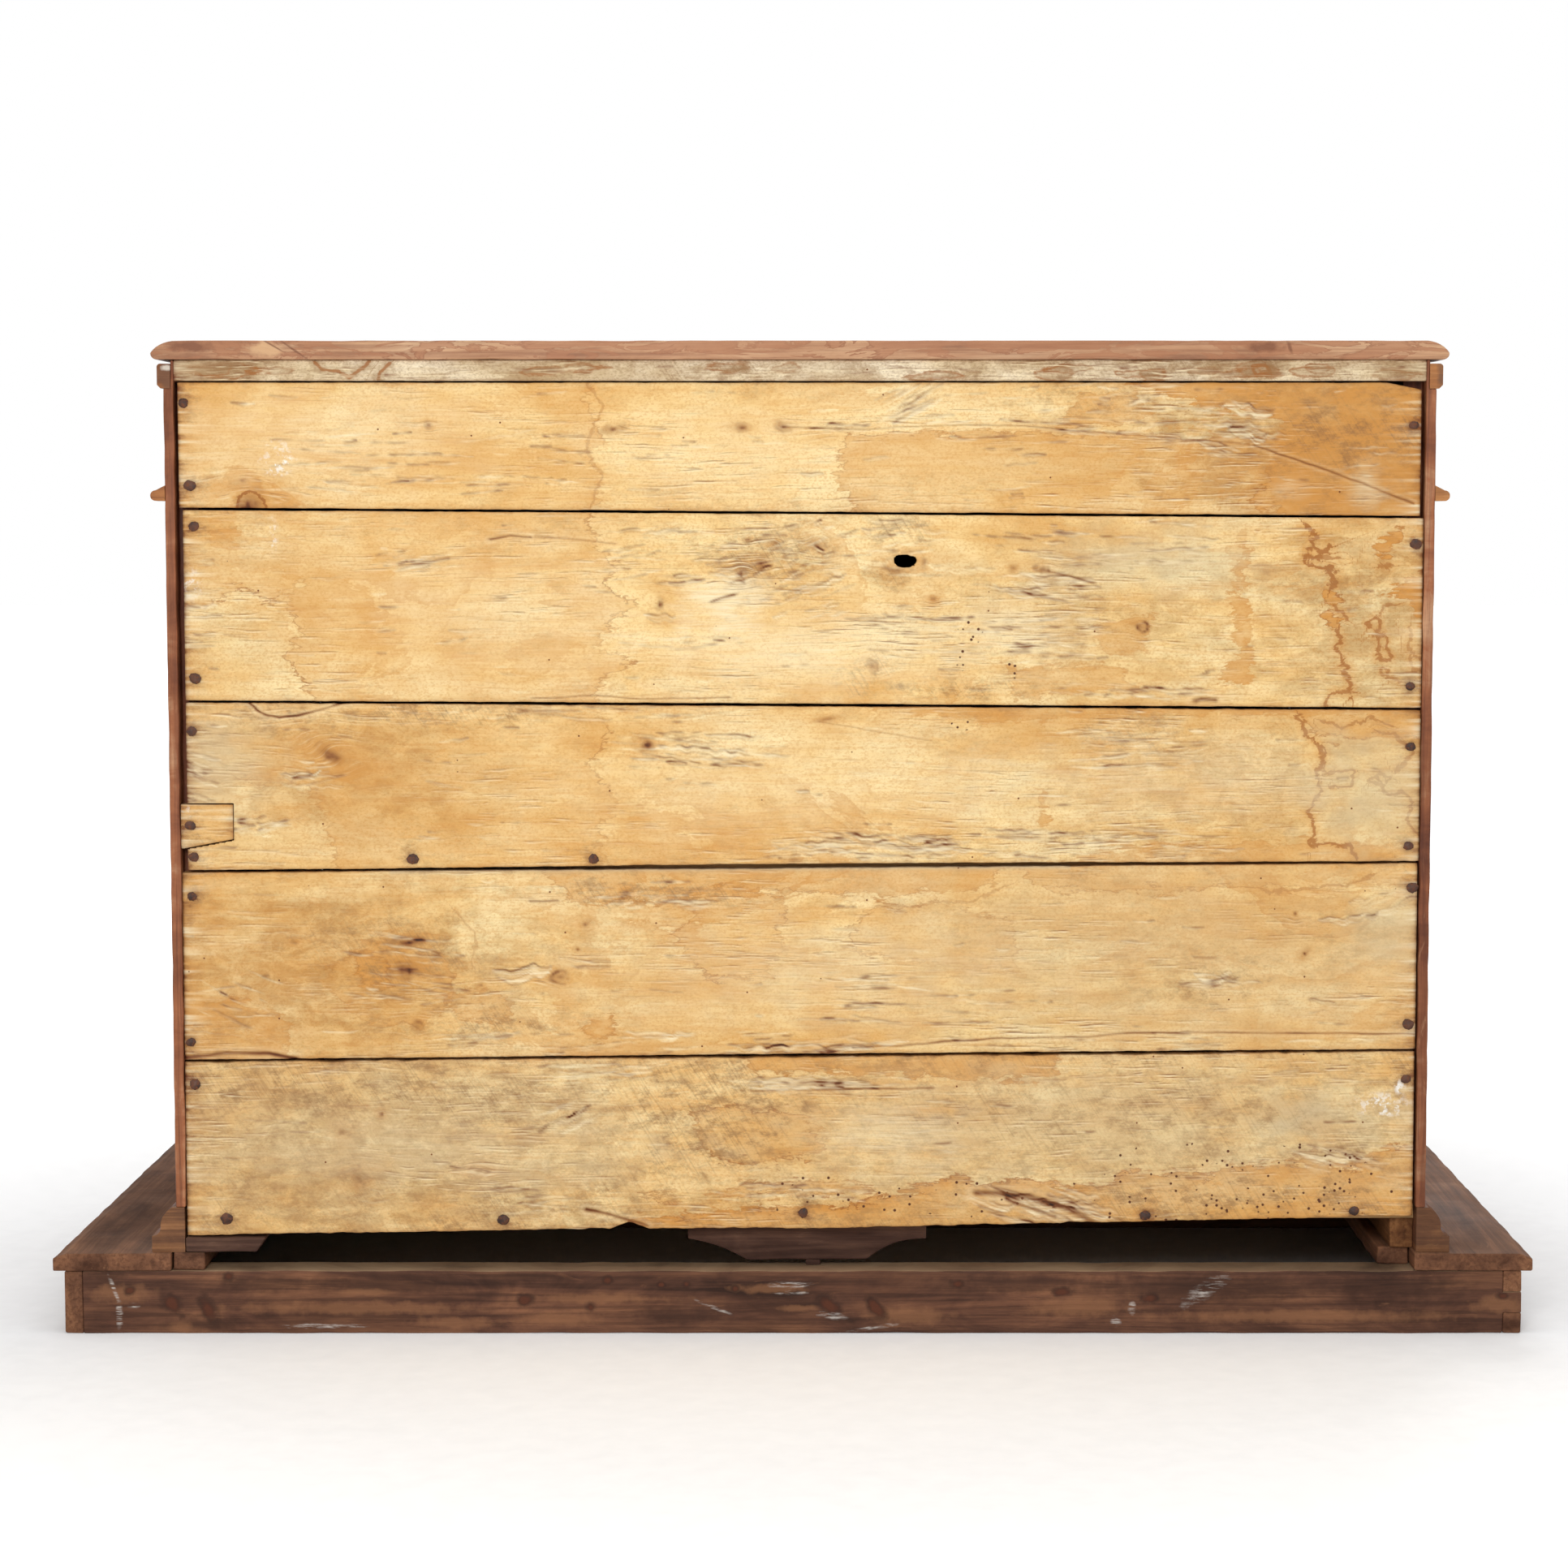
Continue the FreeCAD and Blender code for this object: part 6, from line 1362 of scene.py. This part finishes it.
# Lobes, how far they swell, points
PLATE_LOBES, HOLE_LOBES = (4, 0.12, 48), (2, 0.1, 24)
for hand in ("left", "right"):
    door = hand + "_door"
    key_low, key_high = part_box(door + "_key")
    key_x, plate_z = (key_low.x + key_high.x) / 2, (key_low.z + key_high.z) / 2 - PLATE_DROP
    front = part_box(door + "_stiles")[0].y
    plate = ring(key_x, plate_z, PLATE_WIDE, PLATE_TALL, *PLATE_LOBES)
    keyhole = ring(key_x, plate_z, HOLE_WIDE, HOLE_TALL, *HOLE_LOBES)
    extruded(door + "_escutcheon", plate, keyhole, front - PLATE_THICK, front, door, forged, "forged_iron")
    pins = [(key_x + PIN_ASIDE * side, plate_z + PIN_UP * end) for side in (-1, 1) for end in (-1, 1)]
    studs(door + "_escutcheon_pins", pins, front - PIN_SEAT, PIN_SIZE, PIN_RISE, door, forged, "forged_iron")
    straps = solids(door + "_straps")
    hinge, tip = (straps[0][0].x, straps[0][1].x) if hand == "left" else (straps[0][1].x, straps[0][0].x)
    middles = [(low.z + high.z) / 2 for low, high in straps]
    heads = [(hinge + (tip - hinge) * share, middle) for middle in middles for share in STUD_SHARES]
    ahead = Vector((heads[0][0], straps[0][0].y - 1, heads[0][1]))
    strap_face = surface(door + "_straps").ray_cast(ahead, Vector((0, 1, 0)))[0].y
    studs(door + "_strap_studs", heads, strap_face, STUD_SIZE, STUD_RISE, door, forged, "forged_iron")

# Laths behind the belt rail close the slit above the doors, between the stops
HEAD_LOW, HEAD_THICK, CLEAR = 931 * MM, 6 * MM, 0.2 * MM
rail_low, rail_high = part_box("belt_rail")
runner_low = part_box("drawer_runners")[0]
cuts = [rail_low.x + CLEAR]
for low, high in solids("door_stops"):
    cuts += [low.x - CLEAR, high.x + CLEAR]
cuts.append(rail_high.x - CLEAR)
laths("door_head_laths", [
    ((start, rail_high.y, HEAD_LOW), (end, rail_high.y + HEAD_THICK, runner_low.z))
    for start, end in zip(cuts[::2], cuts[1::2])], "case", inner_wood["x"], "inner_poplar", "x")

# Laths behind the centre stile close the slits beside it, above and below the locks
MEET_LOW, MEET_LAP, LOCK_ROOM = 190 * MM, 10 * MM, 12 * MM
stile_low, stile_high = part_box("centre_stile")
lock_low, lock_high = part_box("left_door_lock_case")
meet_left, meet_right = stile_low.x - MEET_LAP, stile_high.x + MEET_LAP
laths("door_meeting_laths", [
    ((meet_left, stile_high.y, bottom), (meet_right, stile_high.y + HEAD_THICK, top))
    for bottom, top in ((MEET_LOW, lock_low.z - LOCK_ROOM), (lock_high.z + LOCK_ROOM, HEAD_LOW - CLEAR))],
    "case", walnut["z"], "walnut", "z")

# Stage

FLOOR_REACH = 30.0
FLOOR_TONES = (0.82, 0.82, 0.82, 1), (0.86, 0.86, 0.86, 1)
# Between which distances from the middle the floor's own light grows, in metres, and from what to what
GLOW_START, GLOW_FULL = 0.9, 3.5
GLOW_LEAST, GLOW_MOST = 0.12, 0.75
RAIL_INSET = 30 * MM
SKY_LIGHT, SKY_SHOWN = 0.55, 1.0
AIM = Vector((0, 0, 0.6))
# Name, place, watts, size
LAMPS = (
    ("rear_lamp", (0.5, 4.6, 2.3), 90.0, 1.6),
    ("front_lamp", (-1.2, -4.6, 2.9), 90.0, 2.2),
    ("top_lamp", (0.0, 0.4, 4.6), 55.0, 3.0),
)


def stage():
    """Pale floor, soft lamps and the photograph's camera."""
    mesh = bpy.data.meshes.new("floor")
    corners = [(x * FLOOR_REACH, y * FLOOR_REACH, 0) for x, y in ((-1, -1), (1, -1), (1, 1), (-1, 1))]
    mesh.from_pydata(corners, [], [(0, 1, 2, 3)])
    floor = add("floor", mesh)
    floor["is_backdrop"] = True
    sh = Shader(bpy.data.materials.new("floor"))
    speckle = sh.noise((30.0, 30.0, 30.0), 3.0)
    tone = sh.ramp(speckle, (0.3, FLOOR_TONES[0]), (0.7, FLOOR_TONES[1]))
    paint = sh.put("BsdfDiffuse", {"Color": tone})
    axes = sh.put("SeparateXYZ", {0: sh.where}).outputs
    over = sh.number("DIVIDE", sh.number("ABSOLUTE", axes[0]), cad_high.x - RAIL_INSET)
    deep = sh.number("DIVIDE", sh.number("ABSOLUTE", axes[1]), cad_high.y - RAIL_INSET)
    outside = sh.number("GREATER_THAN", sh.number("MAXIMUM", over, deep), 1.0)
    away = sh.put("VectorMath", {0: sh.where}, operation="LENGTH").outputs["Value"]
    lift = sh.times(sh.span(away, GLOW_START, GLOW_FULL, GLOW_LEAST, GLOW_MOST), outside)
    glow = sh.put("Emission", {"Strength": sh.times(sh.shown(), lift)})
    both = sh.put("AddShader", {0: paint.outputs[0], 1: glow.outputs[0]})
    sh.put("OutputMaterial", {"Surface": both.outputs[0]})
    mesh.materials.append(sh.owner)

    sky = Shader(bpy.data.worlds.new("studio"))
    level = sky.span(sky.shown(), 0.0, 1.0, SKY_LIGHT, SKY_SHOWN)
    light = sky.put("Background", {"Color": (1, 1, 1, 1), "Strength": level})
    sky.put("OutputWorld", {"Surface": light.outputs[0]})
    bpy.context.scene.world = sky.owner

    for name, spot, power, size in LAMPS:
        lamp = bpy.data.lights.new(name, "AREA")
        lamp.energy, lamp.size = power, size
        held = add(name, lamp)
        held.location = spot
        held.rotation_euler = (AIM - held.location).to_track_quat("-Z", "Y").to_euler()

    lens = bpy.data.cameras.new("photo_camera")
    lens.sensor_width = SENSOR
    lens.lens = FOCAL / PHOTO * SENSOR
    lens.shift_x = (PHOTO / 2 - CENTRE_X) / PHOTO
    lens.shift_y = (CENTRE_Y - PHOTO / 2) / PHOTO
    camera = add("photo_camera", lens)
    camera.location = EYE
    camera.rotation_euler = (math.pi / 2 - PITCH, 0, math.pi)
    bpy.context.scene.camera = camera
    bpy.context.scene.view_settings.view_transform = "Standard"


stage()

low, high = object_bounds()
